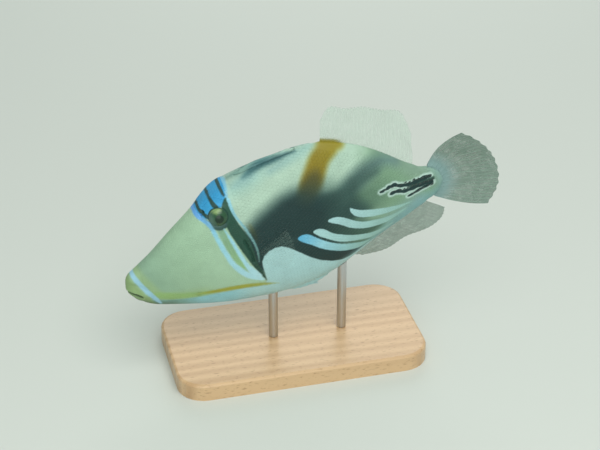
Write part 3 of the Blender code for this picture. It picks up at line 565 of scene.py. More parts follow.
def stroke_path(points):
    """Sample places on the left flank and half widths along a smooth stroke."""
    given = np.array(points, float)
    gone = np.concatenate([[0], np.cumsum(np.linalg.norm(np.diff(given[:, :2], axis=0), axis=1))])
    at = np.concatenate([np.linspace(a, b, SAMPLES_PER_SPAN, endpoint=False) for a, b in zip(gone, gone[1:])]
                        + [gone[-1:]])
    x, z, w = (curve_through(list(zip(gone, given[:, i])))(at) for i in range(3))
    return np.stack([x, -flank_reach(x, z), z], -1), np.maximum(w, 0.02), at / gone[-1]


def stroke_field(left, points, reach):
    """How far inside the stroke each place is, in mm, and how far along it. Far off, it is -reach."""
    path, widths, parts = stroke_path(points)
    margin = reach + widths.max()
    low, high = path.min(0) - margin, path.max(0) + margin
    near = np.nonzero(np.all((left >= low) & (left <= high), axis=1))[0]
    field = np.full(len(left), -float(reach))
    along = np.zeros(len(left))
    spots = left[near]
    best, part = field[near], along[near]
    for i in range(len(path) - 1):
        span = path[i + 1] - path[i]
        t = np.clip((spots - path[i]) @ span / max(span @ span, 1e-9), 0, 1)
        away = np.linalg.norm(spots - path[i] - t[:, None] * span, axis=1)
        inside = widths[i] + (widths[i + 1] - widths[i]) * t - away
        closer = inside > best
        best = np.where(closer, inside, best)
        part = np.where(closer, parts[i] + (parts[i + 1] - parts[i]) * t, part)
    field[near], along[near] = best, part
    return field, along


def outline_field(x, z, corners):
    """Signed distance in the side view from an outline, positive inside it."""
    corners = np.array(corners, float)
    inside = np.zeros(len(x), bool)
    best = np.full(len(x), 1e9)
    for (ax, az), (bx, bz) in zip(corners, np.roll(corners, -1, 0)):
        span = np.array([bx - ax, bz - az])
        t = np.clip(((x - ax) * span[0] + (z - az) * span[1]) / (span @ span), 0, 1)
        best = np.minimum(best, np.hypot(x - ax - t * span[0], z - az - t * span[1]))
        crosses = (az > z) != (bz > z)
        slope = (bx - ax) / (bz - az) if bz != az else 0.0
        inside ^= crosses & (x < ax + (z - az) * slope)
    return np.where(inside, best, -best)


def over(shade, code, share):
    """A hex colour laid over shades, in even steps to the eye."""
    return shade + (coded(code) - shade) * share[:, None]


def ramp(front, rear, part):
    """Shades from one hex colour to another."""
    return coded(front) + (coded(rear) - coded(front)) * part[:, None]


def wash_of(left):
    """The soft ground colours of the skin, as hex-coded shades for each place, with painted shade in the
    mouth's slit, under the chin and the belly, and partly on the snout's front.
    """
    x, z = left[:, 0], left[:, 2]
    jaw = curve_through(JAW_LINE)(x)
    shade = np.tile(coded(BACK_PALE), (len(left), 1))
    for softness, strength, front, rear, path in SOFT_STROKES:
        field, part = stroke_field(left, path, softness)
        share = smooth(field / softness, -1, 1) * strength
        shade = shade + (ramp(front, rear, part) - shade) * share[:, None]
    face = np.tile(coded(SAGE), (len(left), 1))
    # The snout's own sage tone, laid darker towards the front of the head partly as painted shade, where the
    # head turns from the light
    face = over(face, SNOUT_TONE_AND_PAINTED_SHADE, (1 - smooth(x, 8, 32)) * 0.7)
    face = over(face, SAGE_LIGHT, smooth(x, 28, 50) * 0.8)
    band = (1 - smooth(np.abs(x - 9.5 + (z + 2) * 0.45), 2, 6)) * smooth(z - jaw, -1, 3)
    face = over(face, SAGE_YELLOW, band * 0.7)
    face = over(face, SAGE_YELLOW, (1 - smooth(z - jaw, 3, 8)) * (1 - smooth(x, 34, 44)) * 0.5)
    low = smooth(jaw - z, -0.9, 0.9)
    face = over(face, THROAT, low)
    face = over(face, THROAT_FRONT, low * (1 - smooth(x, 18, 36)))
    face = over(face, BELLY_WHITE, low * smooth(x, 44, 62))
    behind = smooth(x - curve_through(BAR_LINE)(z), -0.6, 0.6)
    shade = face + (shade - face) * behind[:, None]
    shade = over(shade, LIP, 1 - smooth(x - 0.45 * (5 - z), 1.6, 3.4))
    # Painted shade in the slit of the mouth: a dark band along its line
    mouth = stroke_field(left, [(px, pz, 0.25) for px, pz in MOUTH[1:]], 3)[0]
    shade = over(shade, LIP_PAINTED_SHADE, smooth(mouth, -1.0, 0.2) * 0.8)
    # Painted shade: the belly is darkened towards its underside, where the light from above does not reach
    underside = (1 - smooth(z - belly(x), 1, 9)) * smooth(x, 60, 84)
    shade = over(shade, BELLY_PAINTED_SHADE, underside * 0.8)
    # Painted shade under the chin, darker towards the underside of the snout
    painted_chin_shade = (1 - smooth(z - belly(x), 0.5, 4.5)) * (1 - smooth(x, 10, 24))
    return over(shade, LIP_PAINTED_SHADE, painted_chin_shade * 0.6)


def store(mesh, label, kind, values):
    """Keeps values on the points of a mesh as an attribute."""
    field = {"FLOAT": "value", "FLOAT_VECTOR": "vector", "FLOAT_COLOR": "color"}[kind]
    mesh.attributes.new(label, kind, "POINT").data.foreach_set(field, np.ravel(values))


def paint(mesh, body):
    """Writes the markings on a mesh as attributes; body holds its points in body millimetres."""
    left = np.array(body, float)
    left[:, 1] = -np.abs(left[:, 1])
    fields = {group: np.full(len(left), FAR_FIELD) for group in GROUPS}
    tints = {group: np.zeros((len(left), 3)) for group in GROUPS}

    def lay(group, field, tint):
        on_top = field > fields[group]
        fields[group] = np.where(on_top, field, fields[group])
        tints[group] = np.where(on_top[:, None], tint, tints[group])

    for softness, code, corners in FILLED:
        lay("under", outline_field(left[:, 0], left[:, 2], corners) / softness, coded(code)[None])
    for group, softness, front, rear, path in CRISP_STROKES:
        field, part = stroke_field(left, path, -FAR_FIELD * softness)
        lay(group, field / softness, ramp(front, rear, part))
    tints["wash"] = wash_of(left)
    for group, values in fields.items():
        store(mesh, group, "FLOAT", np.clip(values, FAR_FIELD, -FAR_FIELD))
    for group, values in tints.items():
        shades = np.concatenate([linear(values), np.ones((len(values), 1))], 1)
        store(mesh, group + "_tint", "FLOAT_COLOR", shades)


# Materials

# Turns bands per metre into the scale of a wave texture
WAVE_BAND = 2 * math.pi / 20


def add(tree, kind, inputs=None, **settings):
    """Adds a node with its settings, and gives its inputs values or other nodes' outputs.

    Some sockets share a name and go by number: in a colour mix, inputs 0, 6 and 7 are the share and
    the two colours, and output 2 is the result.
    """
    node = tree.nodes.new(kind)
    for key, value in settings.items():
        setattr(node, key, value)
    for socket, value in (inputs or {}).items():
        if isinstance(value, bpy.types.NodeSocket):
            tree.links.new(value, node.inputs[socket])
        else:
            node.inputs[socket].default_value = value
    return node


def per_mm(size):
    """Texture scale on metre coordinates for a pattern of that size in millimetres."""
    return 1 / (size * MM)


def new_material(name):
    """An empty material, and its tree."""
    material = bpy.data.materials.new(name)
    material.use_nodes = True
    tree = material.node_tree
    tree.nodes.clear()
    return material, tree


def skin_material(name, roughness, grain):
    """Scaly fish skin under a thin film of slime: colour soaks in, with a soft low sheen."""
    # The grain stands for pores of some 0.1 mm, drawn coarser so that they show
    material, tree = new_material(name)
    place = add(tree, "ShaderNodeTexCoord").outputs["Object"]
    wobble = add(tree, "ShaderNodeTexNoise", {"Vector": place, "Scale": per_mm(1.6), "Detail": 3.0})
    edge = add(tree, "ShaderNodeMath", {0: wobble.outputs["Fac"], 1: 0.5}, operation="SUBTRACT")
    shift = add(tree, "ShaderNodeMath", {0: edge.outputs[0], 1: 1.1}, operation="MULTIPLY").outputs[0]
    shade = add(tree, "ShaderNodeAttribute", attribute_name="wash_tint").outputs["Color"]
    for group in GROUPS:
        field = add(tree, "ShaderNodeAttribute", attribute_name=group).outputs["Fac"]
        moved = add(tree, "ShaderNodeMath", {0: field, 1: shift}, operation="ADD").outputs[0]
        share = add(tree, "ShaderNodeMapRange", {"Value": moved, "From Min": -1.0, "From Max": 1.0},
                    interpolation_type="SMOOTHSTEP").outputs[0]
        tint = add(tree, "ShaderNodeAttribute", attribute_name=group + "_tint").outputs["Color"]
        shade = add(tree, "ShaderNodeMix", {0: share, 6: shade, 7: tint}, data_type="RGBA").outputs[2]
    mottle = add(tree, "ShaderNodeTexNoise", {"Vector": place, "Scale": per_mm(7), "Detail": 5.0,
                                              "Roughness": 0.62})
    level = add(tree, "ShaderNodeMapRange", {"Value": mottle.outputs["Fac"], "From Min": 0.3, "From Max": 0.7,
                                             "To Min": 0.93, "To Max": 1.07}).outputs[0]
    shade = add(tree, "ShaderNodeVectorMath", {0: shade, "Scale": level}, operation="SCALE").outputs[0]
    pores = add(tree, "ShaderNodeTexNoise", {"Vector": place, "Scale": per_mm(grain), "Detail": 2.0})
    relief = add(tree, "ShaderNodeBump", {"Height": pores.outputs["Fac"], "Distance": 0.03 * MM,
                                          "Strength": 0.6})
    gloss = add(tree, "ShaderNodeMapRange", {"Value": mottle.outputs["Fac"], "To Min": roughness - 0.08,
                                             "To Max": roughness + 0.1}).outputs[0]
    skin = add(tree, "ShaderNodeBsdfPrincipled", {"Base Color": shade, "Roughness": gloss, "IOR": 1.4,
                                                  "Normal": relief.outputs[0], "Specular IOR Level": 0.35,
                                                  "Coat Weight": 0.06, "Coat Roughness": 0.3})
    add(tree, "ShaderNodeOutputMaterial", {"Surface": skin.outputs[0]})
    return material


def fin_material(name, web, ray, root, clear, solid, gloss):
    """Fin membrane: a clear, faintly tinted film between cloudy jointed rays."""
    # Real joints are about 0.5 mm apart, and they are drawn wider so that they show
    material, tree = new_material(name)
    ridge = add(tree, "ShaderNodeAttribute", attribute_name="ray").outputs["Fac"]
    out = add(tree, "ShaderNodeAttribute", attribute_name="out").outputs["Fac"]
    tinted = add(tree, "ShaderNodeAttribute", attribute_name="root_tint")
    beats = 2 * math.pi / RAY_JOINT
    joints = add(tree, "ShaderNodeMath", {0: out, 1: beats}, operation="MULTIPLY").outputs[0]
    beat = add(tree, "ShaderNodeMath", {0: joints}, operation="SINE").outputs[0]
    place = add(tree, "ShaderNodeTexCoord").outputs["Object"]
    cloud = add(tree, "ShaderNodeTexNoise", {"Vector": place, "Scale": per_mm(4), "Detail": 4.0})
    shade = add(tree, "ShaderNodeMix", {0: ridge, 6: tone(web), 7: tone(ray)}, data_type="RGBA").outputs[2]
    shade = add(tree, "ShaderNodeMix", {0: tinted.outputs["Fac"], 6: shade, 7: tone(root)},
                data_type="RGBA").outputs[2]
    film = add(tree, "ShaderNodeMapRange", {"Value": cloud.outputs["Fac"], "From Min": 0.3, "From Max": 0.7,
                                            "To Min": clear * 0.8, "To Max": clear * 1.25}).outputs[0]
    cover = add(tree, "ShaderNodeMapRange", {"Value": ridge, "To Min": film, "To Max": solid}).outputs[0]
    base = add(tree, "ShaderNodeMath", {0: cover, 1: tinted.outputs["Fac"]}, operation="MAXIMUM").outputs[0]
    height = add(tree, "ShaderNodeMath", {0: beat, 1: ridge}, operation="MULTIPLY").outputs[0]
    relief = add(tree, "ShaderNodeBump", {"Height": height, "Distance": 0.02 * MM, "Strength": gloss})
    skin = add(tree, "ShaderNodeBsdfPrincipled", {"Base Color": shade, "Alpha": base, "Roughness": 0.5,
                                                  "IOR": 1.38, "Specular IOR Level": gloss,
                                                  "Normal": relief.outputs[0]})
    add(tree, "ShaderNodeOutputMaterial", {"Surface": skin.outputs[0]})
    return material


def eye_material():
    """A wet eyeball: dark pupil, olive iris with fine spokes and a yellow upper arc, clear glossy cornea."""
    material, tree = new_material("wet_cornea_over_iris")
    ring = add(tree, "ShaderNodeAttribute", attribute_name="ring").outputs["Fac"]
    turn = add(tree, "ShaderNodeAttribute", attribute_name="spoke").outputs["Vector"]
    upper = add(tree, "ShaderNodeAttribute", attribute_name="upper").outputs["Fac"]
    ahead = add(tree, "ShaderNodeAttribute", attribute_name="ahead").outputs["Fac"]
    spokes = add(tree, "ShaderNodeTexNoise", {"Vector": turn, "Scale": IRIS_RADIUS / SPOKE_WIDTH,
                                              "Detail": 3.0}).outputs["Fac"]
    iris = add(tree, "ShaderNodeMix", {0: spokes, 6: tone("#1b3c28"), 7: tone("#335c40")},
               data_type="RGBA").outputs[2]
    gold = add(tree, "ShaderNodeMapRange", {"Value": upper, "From Min": 0.3, "From Max": 0.8},
               interpolation_type="SMOOTHSTEP").outputs[0]
    iris = add(tree, "ShaderNodeMix", {0: ahead, 6: iris, 7: tone("#56766b")}, data_type="RGBA").outputs[2]
    iris = add(tree, "ShaderNodeMix", {0: gold, 6: iris, 7: tone("#7f9c66")}, data_type="RGBA").outputs[2]
    pupil = add(tree, "ShaderNodeMapRange", {"Value": ring, "From Min": 0.34, "From Max": 0.46},
                interpolation_type="SMOOTHSTEP").outputs[0]
    shade = add(tree, "ShaderNodeMix", {0: pupil, 6: tone("#102c1e"), 7: iris}, data_type="RGBA").outputs[2]
    rim = add(tree, "ShaderNodeMapRange", {"Value": ring, "From Min": 0.78, "From Max": 0.98},
              interpolation_type="SMOOTHSTEP").outputs[0]
    shade = add(tree, "ShaderNodeMix", {0: rim, 6: shade, 7: tone("#2c4a40")}, data_type="RGBA").outputs[2]
    relief = add(tree, "ShaderNodeBump", {"Height": spokes, "Distance": 0.1 * MM, "Strength": 0.4})
    ball = add(tree, "ShaderNodeBsdfPrincipled", {"Base Color": shade, "Roughness": 0.35,
                                                  "Normal": relief.outputs[0], "Specular IOR Level": 0.2,
                                                  "Coat Weight": 0.6, "Coat Roughness": 0.06,
                                                  "Coat IOR": 1.38})
    add(tree, "ShaderNodeOutputMaterial", {"Surface": ball.outputs[0]})
    return material


def spine_material():
    """Bony spine tips in black skin: a hard, slightly polished surface."""
    material, tree = new_material("bone_spine_in_black_skin")
    place = add(tree, "ShaderNodeTexCoord").outputs["Object"]
    noise = add(tree, "ShaderNodeTexNoise", {"Vector": place, "Scale": per_mm(0.8), "Detail": 2.0})
    grain = noise.outputs["Fac"]
    shade = add(tree, "ShaderNodeMix", {0: grain, 6: tone("#16211f"), 7: tone("#33443f")},
                data_type="RGBA").outputs[2]
    relief = add(tree, "ShaderNodeBump", {"Height": grain, "Distance": 0.05 * MM, "Strength": 0.5})
    bone = add(tree, "ShaderNodeBsdfPrincipled", {"Base Color": shade, "Roughness": 0.34,
                                                  "Normal": relief.outputs[0]})
    add(tree, "ShaderNodeOutputMaterial", {"Surface": bone.outputs[0]})
    return material


def wood_material():
    """Beech, planed and lacquered: even pale wood, soft growth lines, short dark flecks, a satin film."""
    # Real flecks are about 0.3 mm wide, and growth lines 2 to 4 mm apart: both are drawn coarser to show
    material, tree = new_material("satin_lacquered_beech")
    place = add(tree, "ShaderNodeTexCoord").outputs["Object"]
    lines = add(tree, "ShaderNodeMapping", {"Vector": place, "Scale": (0.06, 1.0, 1.0)}).outputs[0]
    bend = add(tree, "ShaderNodeTexNoise", {"Vector": lines, "Scale": per_mm(22), "Detail": 3.0})
    growth = add(tree, "ShaderNodeTexWave", {"Vector": lines, "Scale": per_mm(7) * WAVE_BAND,
                                             "Distortion": 5.0, "Detail": 3.0, "Detail Scale": 1.5},
                 bands_direction="Y")
    short = add(tree, "ShaderNodeMapping", {"Vector": place, "Scale": (0.3, 1.0, 1.0)}).outputs[0]
    noise = add(tree, "ShaderNodeTexNoise", {"Vector": short, "Scale": per_mm(0.9), "Detail": 2.0})
    flecks = noise.outputs["Fac"]
    shade = add(tree, "ShaderNodeMix", {0: growth.outputs["Fac"], 6: tone("#cba97d"), 7: tone("#ad865b")},
                data_type="RGBA").outputs[2]
    shade = add(tree, "ShaderNodeMix", {0: bend.outputs["Fac"], 6: shade, 7: tone("#cfb088")},
                data_type="RGBA").outputs[2]
    dark = add(tree, "ShaderNodeMapRange", {"Value": flecks, "From Min": 0.58, "From Max": 0.72,
                                            "To Max": 0.6}).outputs[0]
    shade = add(tree, "ShaderNodeMix", {0: dark, 6: shade, 7: tone("#8f6a45")}, data_type="RGBA").outputs[2]
    relief = add(tree, "ShaderNodeBump", {"Height": flecks, "Distance": -0.05 * MM, "Strength": 0.35})
    beech = add(tree, "ShaderNodeBsdfPrincipled", {"Base Color": shade, "Roughness": 0.42,
                                                   "Normal": relief.outputs[0], "Coat Weight": 0.3,
                                                   "Coat Roughness": 0.25})
    add(tree, "ShaderNodeOutputMaterial", {"Surface": beech.outputs[0]})
    return material


def steel_material():
    """Stainless steel rod, brushed along its length: fine vertical streaks and a soft metal gloss."""
    # Real brushing is finer than 0.1 mm, and it is drawn at 0.25 mm so that it shows
    material, tree = new_material("brushed_stainless_steel")
    place = add(tree, "ShaderNodeTexCoord").outputs["Object"]
    lines = add(tree, "ShaderNodeMapping", {"Vector": place, "Scale": (1.0, 1.0, 0.03)}).outputs[0]
    noise = add(tree, "ShaderNodeTexNoise", {"Vector": lines, "Scale": per_mm(0.25), "Detail": 2.0})
    brush = noise.outputs["Fac"]
    gloss = add(tree, "ShaderNodeMapRange", {"Value": brush, "To Min": 0.24, "To Max": 0.42}).outputs[0]
    relief = add(tree, "ShaderNodeBump", {"Height": brush, "Distance": 0.01 * MM, "Strength": 0.4})
    steel = add(tree, "ShaderNodeBsdfPrincipled", {"Base Color": tone("#c4c6c7"), "Metallic": 1.0,
                                                   "Roughness": gloss, "Normal": relief.outputs[0]})
    add(tree, "ShaderNodeOutputMaterial", {"Surface": steel.outputs[0]})
    return material


# Meshes

def mesh_from(name, body, faces):
    """A smooth mesh in the model's metres from points in body millimetres."""
    mesh = bpy.data.meshes.new(name)
    mesh.from_pydata(in_model(body).tolist(), [], faces)
    mesh.shade_smooth()
    return mesh


def piece(name, mesh, material, slot, *nodes):
    """An object from a mesh: it rides on the one body and stands for the named nodes."""
    made = bpy.data.objects.new(name, mesh)
    bpy.context.scene.collection.objects.link(made)
    mesh.materials.clear()
    mesh.materials.append(material)
    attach(made, "root")
    if nodes:
        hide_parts(*nodes)
    return made


def half_section(x):
    """The skin's section at x from the crown down to the belly: reach, height and length gone round."""
    angles = np.linspace(math.pi / 2, -math.pi / 2, ARC_SAMPLES)
    c, s = np.abs(np.cos(angles)), np.sin(angles)
    top, bottom, wide, middle, upper = section_sizes(x)
    power = 2 / np.where(s >= 0, upper, UNDERSIDE)
    y = wide * c ** power
    z = middle + np.where(s >= 0, top - middle, middle - bottom) * np.sign(s) * np.abs(s) ** power
    gone = np.concatenate([[0], np.cumsum(np.hypot(np.diff(y), np.diff(z)))])
    return y, z, gone


def skin_rings():
    """Rings of body points from snout to tail, evenly spaced from the crown round both sides."""
    x, places = NOSE_STEP, []
    while x < BODY_LENGTH - 0.05:
        places.append(x)
        from_end = min(x, BODY_LENGTH - x)
        x += min(STATION_STEP, 0.06 + 0.075 * from_end)
    half = RING_POINTS // 2
    rings = []
    for x in places:
        y, z, gone = half_section(x)
        at = np.linspace(0, gone[-1], half + 1)
        y, z = -np.interp(at, gone, y), np.interp(at, gone, z)
        y[0] = y[-1] = 0
        ys = np.concatenate([y, -y[-2:0:-1]])
        zs = np.concatenate([z, z[-2:0:-1]])
        rings.append(np.stack([np.full(len(ys), x), ys, zs], 1))
    return np.array(rings)


def tube_faces(rings, count):
    """Quads between rings and fans to one more point at each end."""
    r, i = np.meshgrid(np.arange(rings - 1), np.arange(count), indexing="ij")
    j = (i + 1) % count
    quads = np.stack([r * count + i, r * count + j, (r + 1) * count + j, (r + 1) * count + i], -1)
    start, end, last = rings * count, rings * count + 1, (rings - 1) * count
    fans = [(start, (k + 1) % count, k) for k in range(count)]
    fans += [(end, last + k, last + (k + 1) % count) for k in range(count)]
    return quads.reshape(-1, 4).tolist() + fans


def refine(work, wanted):
    """Splits once every face whose centre is wanted."""
    centres = np.array([face.calc_center_median() for face in work.faces])
    chosen = wanted(centres)
    edges = {edge for face, take in zip(list(work.faces), chosen) if take for edge in face.edges}
    bmesh.ops.subdivide_edges(work, edges=list(edges), cuts=1, use_grid_fill=True)


def path_distance(x, z, path):
    """Distance in the side view from (x, z) to a line of points."""
    best = np.full(len(x), 1e9)
    for (ax, az), (bx, bz) in zip(path, path[1:]):
        t = np.clip(((x - ax) * (bx - ax) + (z - az) * (bz - az)) / ((bx - ax) ** 2 + (bz - az) ** 2), 0, 1)
        best = np.minimum(best, np.hypot(x - ax - t * (bx - ax), z - az - t * (bz - az)))
    return best


def eye_distance(body):
    """Distance from the centre of the eyeball on the same side."""
    centre = eye_place(-1)[0]
    left = np.stack([body[:, 0], -np.abs(body[:, 1]), body[:, 2]], 1)
    return np.linalg.norm(left - centre, axis=1)


def near_details(centres):
    """Where the skin needs a finer mesh: mouth, eyes, nostrils, gill slits and the fin groove."""
    x, y, z = centres.T
    mouth = path_distance(x, z, MOUTH) < FINE["mouth"]
    eye = np.abs(eye_distance(centres) - LID_AT) < FINE["lid"]
    gill = path_distance(x, z, GILL_SLIT) < FINE["gill"]
    nostril = path_distance(x, z, NOSTRILS) < FINE["nostril"]
    groove = (np.abs(y) < FINE["groove"]) & (z > UPPER_BODY)
    groove &= (x > CREST_START - 2) & (x < CREST_END + 2)
    return mouth | eye | gill | nostril | groove


def near_pits(centres):
    """Where it needs to be finer still: nostrils, gill slits and the line of the mouth."""
    x, z = centres[:, 0], centres[:, 2]
    slits = np.minimum(path_distance(x, z, MOUTH), path_distance(x, z, GILL_SLIT))
    return (slits < FINEST["slit"]) | (path_distance(x, z, NOSTRILS) < FINEST["nostril"])


def relief(body):
    """Height of the skin's own forms above the plain body, in millimetres."""
    x, y, z = body.T
    side = np.abs(y)
    away = path_distance(x, z, MOUTH)
    high = LIP_HEIGHT * np.exp(-(away / LIP_REACH) ** 2) - LIP_FOLD * np.exp(-(away - LIP_FOLD_AT) ** 2)
    wrinkle = np.sin(2 * math.pi * (z * 0.9 + x * 0.35)) * WRINKLE_HEIGHT
    wrinkle *= np.exp(-(away / WRINKLE_REACH) ** 2)
    high += wrinkle * smooth(away, 0.5, 1.2)
    high -= MOUTH_DEPTH * np.exp(-(away / MOUTH_WIDTH) ** 2)
    high += BROW_HEIGHT * np.exp(-(path_distance(x, z, BROW) / BROW_REACH) ** 2)
    lid = eye_distance(body)
    high += LID_HEIGHT * np.exp(-((lid - LID_AT) / LID_WIDTH) ** 2)
    high -= SOCKET_DEPTH * np.exp(-((lid - SOCKET_AT) / SOCKET_WIDTH) ** 2)
    for nx, nz in NOSTRILS:
        pit = np.hypot(x - nx, z - nz)
        high -= NOSTRIL_DEPTH * np.exp(-(pit / NOSTRIL_RADIUS) ** 4)
        high += NOSTRIL_RIM["height"] * np.exp(-((pit - NOSTRIL_RIM["at"]) / NOSTRIL_RIM["width"]) ** 2)
    slit = path_distance(x, z, GILL_SLIT)
    high -= GILL_DEPTH * np.exp(-(slit / GILL_WIDTH) ** 2)
    cover = path_distance(x + GILL_COVER["ahead"], z, GILL_SLIT)
    high += GILL_COVER["height"] * np.exp(-(cover / GILL_COVER["width"]) ** 2)
    sheath = np.exp(-(side / SHEATH_REACH) ** 2) * SHEATH_HEIGHT
    on_back = smooth(x, *SHEATH_ON_BACK[:2]) * (1 - smooth(x, *SHEATH_ON_BACK[2:])) * (z > widest(x))
    on_belly = smooth(x, *SHEATH_ON_BELLY[:2]) * (1 - smooth(x, *SHEATH_ON_BELLY[2:])) * (z < widest(x))
    return high + sheath * (on_back + on_belly)


def crest_sizes(x):
    """Half width of the groove on the back at station x, and its depth."""
    inside = np.minimum(x - CREST_START, CREST_END - x) + 0.3
    fade = np.clip(inside / CREST_POINT, 0, 1) ** 0.5
    return CREST_HALF_WIDTH * fade + 0.3, (CREST_DEPTH + 0.2) * fade


def make_skin():
    """One closed skin over head, trunk and tail base, with its folds, pits and groove."""
    rings = skin_rings()
    count = rings.shape[1]
    ends = [(0, 0, widest(0)), (BODY_LENGTH, 0, widest(BODY_LENGTH))]
    points = np.concatenate([rings.reshape(-1, 3), ends])
    mesh = bpy.data.meshes.new("fish_skin")
    mesh.from_pydata(points.tolist(), [], tube_faces(len(rings), count))
    work = bmesh.new()
    work.from_mesh(mesh)
    refine(work, near_details)
    refine(work, near_pits)
    bmesh.ops.triangulate(work, faces=work.faces)
    bmesh.ops.recalc_face_normals(work, faces=work.faces)
    work.normal_update()
    body = np.array([vert.co for vert in work.verts])
    normals = np.array([vert.normal for vert in work.verts])
    work.to_mesh(mesh)
    work.free()
    paint(mesh, body)
    shaped = body + normals * relief(body)[:, None]
    wide, deep = crest_sizes(body[:, 0])
    over_groove = (body[:, 2] > UPPER_BODY) & (np.abs(body[:, 1]) < wide) & (deep > 0)
    profile = np.clip(1 - (np.abs(body[:, 1]) / wide) ** GROOVE_SQUARENESS, 0, 1)
    shaped[:, 2] -= np.where(over_groove, deep * profile, 0)
    mesh.vertices.foreach_set("co", in_model(shaped).ravel())
    mesh.shade_smooth()
    mesh.update()
    return piece("fish_skin", mesh, skin_material("slimed_fish_skin", 0.46, 0.35), "skin",
                 "head", "trunk", "tail_base")


def shape_tree():
    """Geometry nodes that set one shape on every point, out from the skin and along its lie."""
    tree = bpy.data.node_groups.new("set_on_skin", "GeometryNodeTree")
    for name, kind in (("Points", "Geometry"), ("Shape", "Object"), ("Size", "Float"),
                       ("Variation", "Float"), ("Seed", "Int"), ("Finish", "Material")):
        tree.interface.new_socket(name, in_out="INPUT", socket_type="NodeSocket" + kind)
    tree.interface.new_socket("Shapes", in_out="OUTPUT", socket_type="NodeSocketGeometry")
    given = add(tree, "NodeGroupInput").outputs
    out, lie, size = (add(tree, "GeometryNodeInputNamedAttribute", {"Name": name},
                          data_type="FLOAT_VECTOR").outputs[0] for name in ("outward", "lie", "size"))
    upright = add(tree, "FunctionNodeAlignRotationToVector", {"Vector": out}, axis="Z").outputs[0]
    laid = add(tree, "FunctionNodeAlignRotationToVector", {"Rotation": upright, "Vector": lie}, axis="X",
               pivot_axis="Z").outputs[0]
    least = add(tree, "ShaderNodeMath", {0: 1.0, 1: given["Variation"]}, operation="SUBTRACT").outputs[0]
    most = add(tree, "ShaderNodeMath", {0: 1.0, 1: given["Variation"]}, operation="ADD").outputs[0]
    # Inputs 2 and 3 are the random value's least and most, and output 1 is the number drawn
    draw = add(tree, "FunctionNodeRandomValue", {2: least, 3: most, "Seed": given["Seed"]}, data_type="FLOAT")
    grown = add(tree, "ShaderNodeMath", {0: draw.outputs[1], 1: given["Size"]}, operation="MULTIPLY")
    scale = add(tree, "ShaderNodeVectorMath", {0: size, "Scale": grown.outputs[0]},
                operation="SCALE").outputs[0]
    shape = add(tree, "GeometryNodeObjectInfo", {"Object": given["Shape"]}).outputs["Geometry"]
    placed = add(tree, "GeometryNodeInstanceOnPoints", {"Points": given["Points"], "Instance": shape,
                                                        "Rotation": laid, "Scale": scale}).outputs[0]
    real = add(tree, "GeometryNodeRealizeInstances", {"Geometry": placed}).outputs[0]
    dressed = add(tree, "GeometryNodeSetMaterial", {"Geometry": real, "Material": given["Finish"]}).outputs[0]
    add(tree, "NodeGroupOutput", {"Shapes": dressed})
    return tree


def set_on_skin(name, shape, spots, outward, lie, sizes, variation, seed, material):
    """A plain mesh with the shape set on every spot; spots are in body millimetres."""
    cloud = bpy.data.meshes.new(name)
    cloud.from_pydata(in_model(spots).tolist(), [], [])
    for label, vectors in (("outward", turned(outward)), ("lie", turned(lie)), ("size", sizes)):
        store(cloud, label, "FLOAT_VECTOR", vectors)
    holder = bpy.data.objects.new(name, cloud)
    model = bpy.data.objects.new(name + "_shape", shape)
    for made in (holder, model):
        bpy.context.scene.collection.objects.link(made)
    tree = bpy.data.node_groups.get("set_on_skin") or shape_tree()
    step = holder.modifiers.new("set_on_skin", "NODES")
    step.node_group = tree
    sockets = {item.name: item.identifier for item in tree.interface.items_tree if item.in_out == "INPUT"}
    step[sockets["Shape"]] = model
    step[sockets["Size"]] = 1.0
    step[sockets["Variation"]] = variation
    step[sockets["Seed"]] = seed
    step[sockets["Finish"]] = material
    bpy.context.view_layer.update()
    mesh = bpy.data.meshes.new_from_object(holder.evaluated_get(bpy.context.evaluated_depsgraph_get()))
    for made in (holder, model):
        bpy.data.objects.remove(made)
    mesh.name = name
    for label in ("outward", "lie", "size"):
        old = mesh.attributes.get(label)
        if old is not None:
            mesh.attributes.remove(old)
    mesh.shade_smooth()
    return mesh


def in_body(mesh):
    """A mesh's points in body millimetres."""
    co = np.zeros(len(mesh.vertices) * 3)
    mesh.vertices.foreach_get("co", co)
    x, y, z = ((co.reshape(-1, 3) - ORIGIN) / MM).T
    c, s = math.cos(math.radians(HEAD_DOWN)), math.sin(math.radians(HEAD_DOWN))
    return np.stack([x * c + z * s + BODY_LENGTH / 2, y, -x * s + z * c], 1)


# Fins

def sheet_mesh(name, centres, halves, extras):
    """A thin closed sheet from a grid of centre points; extras are attributes of the grid."""
    columns, rows = centres.shape[:2]
    along = np.gradient(centres, axis=0)
    out = np.gradient(centres, axis=1)
    normal = unit(np.cross(along, out))
    body = np.concatenate([(centres + normal * halves[..., None]).reshape(-1, 3),
                           (centres - normal * halves[..., None]).reshape(-1, 3)])
    shift = columns * rows
    c, r = np.meshgrid(np.arange(columns - 1), np.arange(rows - 1), indexing="ij")
    a, b = (c * rows + r).ravel(), ((c + 1) * rows + r).ravel()
    front = np.stack([a, b, b + 1, a + 1], 1)
    rim = [k * rows for k in range(columns)] + [(columns - 1) * rows + k for k in range(1, rows)]
    rim += [k * rows + rows - 1 for k in range(columns - 2, -1, -1)] + list(range(rows - 2, 0, -1))
    edge = [(j, i, i + shift, j + shift) for i, j in zip(rim, rim[1:] + rim[:1])]
    mesh = mesh_from(name, body, front.tolist() + (front[:, ::-1] + shift).tolist() + edge)
    for label, values in extras.items():
        store(mesh, label, "FLOAT", np.concatenate([values.ravel(), values.ravel()]))
    return mesh


def ray_relief(across, height, fork, fork_at, width):
    """1 on a ray or branch, 0 between; across counts rays, and each forks twice on its way out."""
    off = across - np.round(across)
    first = fork * smooth(height, fork_at, fork_at + 0.28)
    second = fork * 0.42 * smooth(height, fork_at + 0.3, min(fork_at + 0.55, 1.0))
    thin = width * (1 - 0.5 * height)
    best = np.zeros_like(across)
    for a in (-1, 1):
        for b in (-1, 1):
            best = np.maximum(best, np.exp(-((off - a * first - b * second) / thin) ** 2))
    return best


